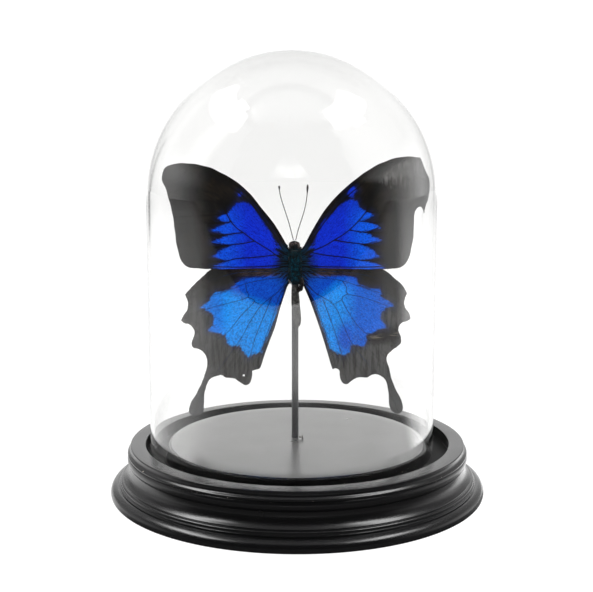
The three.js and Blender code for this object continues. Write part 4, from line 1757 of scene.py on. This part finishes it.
            # Matted hair makes this leg look thicker, and stands off to the left.
            radii = radii * 2.35
            path = path - np.array([0.35, 0.0, 0.0])
        piece = make_object(name + "_shell", *sweep(path, radii, 10), 60.0)
        if name in self.hairy_legs:
            self.hairy(piece, BLACK_COLLAR_HAIR, (-0.9, 0.0, -0.5), 46.0, 1.0)
        return dress(piece, "dark_chitin", [name], Chitin())


HEAD_SHELL = Chitin("head_chitin", (0.007, 0.006, 0.005), (0.070, 0.050, 0.046), 0.42, 0.22)
THORAX_SHELL = Chitin("thorax_chitin", (0.005, 0.006, 0.006), (0.012, 0.014, 0.014), 0.5, 0.12)
TEAL_BLACK_HAIR = Hair("teal_black_hair", (0.003, 0.004, 0.005), (0.004, 0.030, 0.045))
TEAL_HAIR = Hair("teal_hair", (0.002, 0.030, 0.045), (0.003, 0.120, 0.190))
BLACK_COLLAR_HAIR = Hair("black_hair", (0.004, 0.004, 0.004), (0.012, 0.010, 0.009))
BROWN_HAIR = Hair("brown_hair", (0.020, 0.012, 0.008), (0.110, 0.065, 0.050))
PALE_PINK_HAIR = Hair("pale_pink_hair", (0.080, 0.050, 0.050), (0.340, 0.240, 0.230))
DARK_HAIR = Hair("dark_hair", (0.006, 0.006, 0.006), (0.030, 0.030, 0.030))
ABDOMEN_SHELL = Chitin("abdomen_chitin", (0.022, 0.021, 0.020), (0.120, 0.116, 0.108), 0.5)


# ---- Studio


@dataclass
class Studio:
    """Camera, floor, background and lamps.

    Sizes are millimetres. Bearings are degrees round Z, from -Y towards +X.

    Attributes:
        look_down: Degrees under level.
        focal_pixels: Focal length in pixels of the picture.
        table_front: Corners of the front edge of the table.
        room: Distance from the axis to the floor's sides and back.
        white: Brightness of the background through the glass.
        direct_white: Its brightness seen straight.
        left_wall: Brightness in gloss of the left wall at the floor.
        left_rise: What the left wall gains just above the floor.
        right_wall: That of the right wall.
        wall_fall: Share that the walls lose higher up.
        back: That of the back wall.
        middle: That of its middle.
        gloom: That of the dark room in front.
        ceiling: That of the ceiling.
        gap: That of the dark gap at the back.
        dark_between: Bearings between which the room is dark.
        dark_softness: Half the width of its two borders.
        boxes: First and last bearing, lowest and highest elevation of each soft box.
        box_strength: Brightness of the soft boxes in gloss.
        lamp_watts: Power of each of the two lamps.
        lamp_size: Width and height of a lamp.
        lamp_place: Where the right lamp stands. The left one mirrors it.
        lamp_aim: What both lamps point at.
    """

    camera_x: float = -0.3
    camera_y: float = -457.3
    camera_z: float = 151.4
    look_down: float = 8.55
    focal_pixels: float = 1100.0
    picture_width: int = 593
    sensor: float = 36.0
    table_front: tuple[Point2, ...] = (
        (-3000.0, -545.0), (-300.0, -553.0), (-50.0, -612.0), (60.0, -618.0), (600.0, -590.0),
        (3000.0, -575.0))
    room: float = 3000.0
    white: float = 1.06
    direct_white: float = 1.15
    left_wall: float = 0.75
    left_rise: float = 0.45
    right_wall: float = 1.5
    wall_fall: float = 0.75
    back: float = 0.66
    middle: float = 1.42
    gloom: float = 0.010
    ceiling: float = 0.6
    gap: float = 0.05
    dark_between: tuple[float, float] = (-83.0, 90.0)
    dark_softness: tuple[float, float] = (20.0, 30.0)
    boxes: tuple[tuple[float, ...], ...] = ((-124.0, -63.0, 45.5, 57.5), (53.0, 110.0, 50.0, 63.5))
    box_strength: float = 15.0
    lamp_watts: float = 8.5
    lamp_size: Point2 = (220.0, 340.0)
    lamp_place: Point3 = (620.0, -120.0, 1000.0)
    lamp_aim: Point3 = (0.0, 0.0, 100.0)

    def build_camera(self) -> None:
        """Makes the camera."""
        data = bpy.data.cameras.new("camera")
        data.sensor_width = self.sensor
        data.lens = self.focal_pixels / self.picture_width * self.sensor
        data.clip_start, data.clip_end = 0.01, 20.0
        camera = bpy.data.objects.new("camera", data)
        camera.location = Vector((self.camera_x, self.camera_y, self.camera_z)) * MM
        camera.rotation_euler = (math.radians(90.0 - self.look_down), 0.0, 0.0)
        bpy.context.scene.collection.objects.link(camera)
        bpy.context.scene.camera = camera

    def build_floor(self) -> None:
        """Makes the floor, which ends at the front edge of the table."""
        front = [(x, y, 0.0) for x, y in self.table_front]
        corners = np.array([*front, (self.room, self.room, 0.0), (-self.room, self.room, 0.0)])
        floor = make_object("floor", corners, [range(len(corners))])
        floor.data.materials.append(PaleFloor().material())

    def build_background(self) -> None:
        """Makes a white background, and a dark room in front of the table that only gloss shows."""
        world = bpy.data.worlds.new("studio")
        bpy.context.scene.world = world
        world.use_nodes = True
        world.node_tree.nodes.clear()
        graph = Graph(world.node_tree)
        x, y, z = graph.axes(graph.node("ShaderNodeTexCoord").outputs["Generated"])
        room = self.room_in_gloss(graph, graph.bearing(x, y), z)
        soft_light = graph.scaled(graph.rise(z, -0.2, 0.9), 0.40, 0.80)
        path = graph.node("ShaderNodeLightPath").outputs
        shown = graph.between(graph.math("MINIMUM", path["Glossy Depth"], 1.0), self.white, room)
        shown = graph.between(graph.math("MINIMUM", path["Diffuse Depth"], 1.0), shown, soft_light)
        final = graph.between(path["Is Camera Ray"], shown, self.direct_white)
        background = graph.node("ShaderNodeBackground", {"Color": WHITE, "Strength": final})
        graph.node("ShaderNodeOutputWorld", {"Surface": background.outputs[0]})

    def room_in_gloss(self, graph: Graph, around: object, z: object) -> Socket:
        """Returns the brightness of the room that mirrors show.

        Args:
            graph: The tree.
            around: The bearing in degrees.
            z: Sine of the elevation.
        """
        (left, right), (soft_left, soft_right) = self.dark_between, self.dark_softness
        nearer = graph.times(around, graph.scaled(graph.rise(z, 0.12, 0.22), 0.28, 1.0))
        in_front = graph.times(graph.rise(around, left - soft_left, left + soft_left),
                               graph.rise(nearer, right + soft_right, right - soft_right))
        ceiling = graph.between(graph.rise(z, 0.80, 0.97), self.gloom, self.ceiling)
        left_side = graph.scaled(graph.rise(z, 0.03, 0.20), self.left_rise, self.left_wall)
        sides = graph.between(graph.rise(around, -10.0, 10.0), left_side, self.right_wall)
        sides = graph.times(graph.scaled(graph.rise(z, 0.14, 0.42), -self.wall_fall, 1.0), sides)
        middle = graph.times(graph.rise(graph.absolute(around), 148.0, 164.0), graph.rise(z, 0.52, 0.40))
        back = graph.between(middle, self.back, self.middle)
        back = graph.times(graph.scaled(graph.rise(z, 0.50, 0.85), -0.62, 1.0), back)
        behind = graph.math("MAXIMUM", graph.rise(around, -104.0, -126.0), graph.rise(around, 118.0, 138.0))
        room = graph.between(in_front, graph.between(behind, sides, back), ceiling)
        # A dark gap between two white sheets stands at the back on the left.
        gap = graph.absolute(graph.minus(around, graph.scaled(z, 35.0, -144.0)))
        gap = graph.times(graph.rise(gap, 2.6, 1.4), graph.rise(z, 0.30, 0.22))
        room = graph.between(gap, room, self.gap)
        elevation = graph.times(graph.math("ARCSINE", z), DEGREES)
        for start, end, low, high in self.boxes:
            box = graph.times(graph.window(around, start, end, 7.0), graph.window(elevation, low, high, 2.5))
            room = graph.scaled(box, self.box_strength, room)
        return room

    def build_lamps(self) -> None:
        """Makes two soft boxes high on the left and the right."""
        right, back, height = self.lamp_place
        for name, side in (("left", -1.0), ("right", 1.0)):
            data = bpy.data.lights.new("soft_box_" + name, "AREA")
            data.shape = "RECTANGLE"
            data.size, data.size_y = (length * MM for length in self.lamp_size)
            data.energy = self.lamp_watts
            lamp = bpy.data.objects.new(data.name, data)
            lamp.location = Vector((side * right, back, height)) * MM
            aim = Vector(self.lamp_aim) * MM - lamp.location
            lamp.rotation_euler = aim.to_track_quat("-Z", "Y").to_euler()
            lamp.visible_camera = False
            lamp.visible_glossy = False
            bpy.context.scene.collection.objects.link(lamp)

    def build(self) -> None:
        """Builds the whole studio."""
        self.build_camera()
        self.build_floor()
        self.build_background()
        self.build_lamps()
        bpy.context.scene.view_settings.view_transform = "Standard"


def main() -> None:
    """Builds the object and the studio."""
    logging.basicConfig(level=logging.INFO, format="%(name)s %(message)s")
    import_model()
    Studio().build()
    TurnedBase().build()
    GlassDome().build()
    stand = Stand()
    stand.build_rod()
    stand.build_nail()
    for wing in make_wings():
        wing.build_membrane()
        wing.build_veins()
    Body().build()


if __name__ == "__main__":
    main()
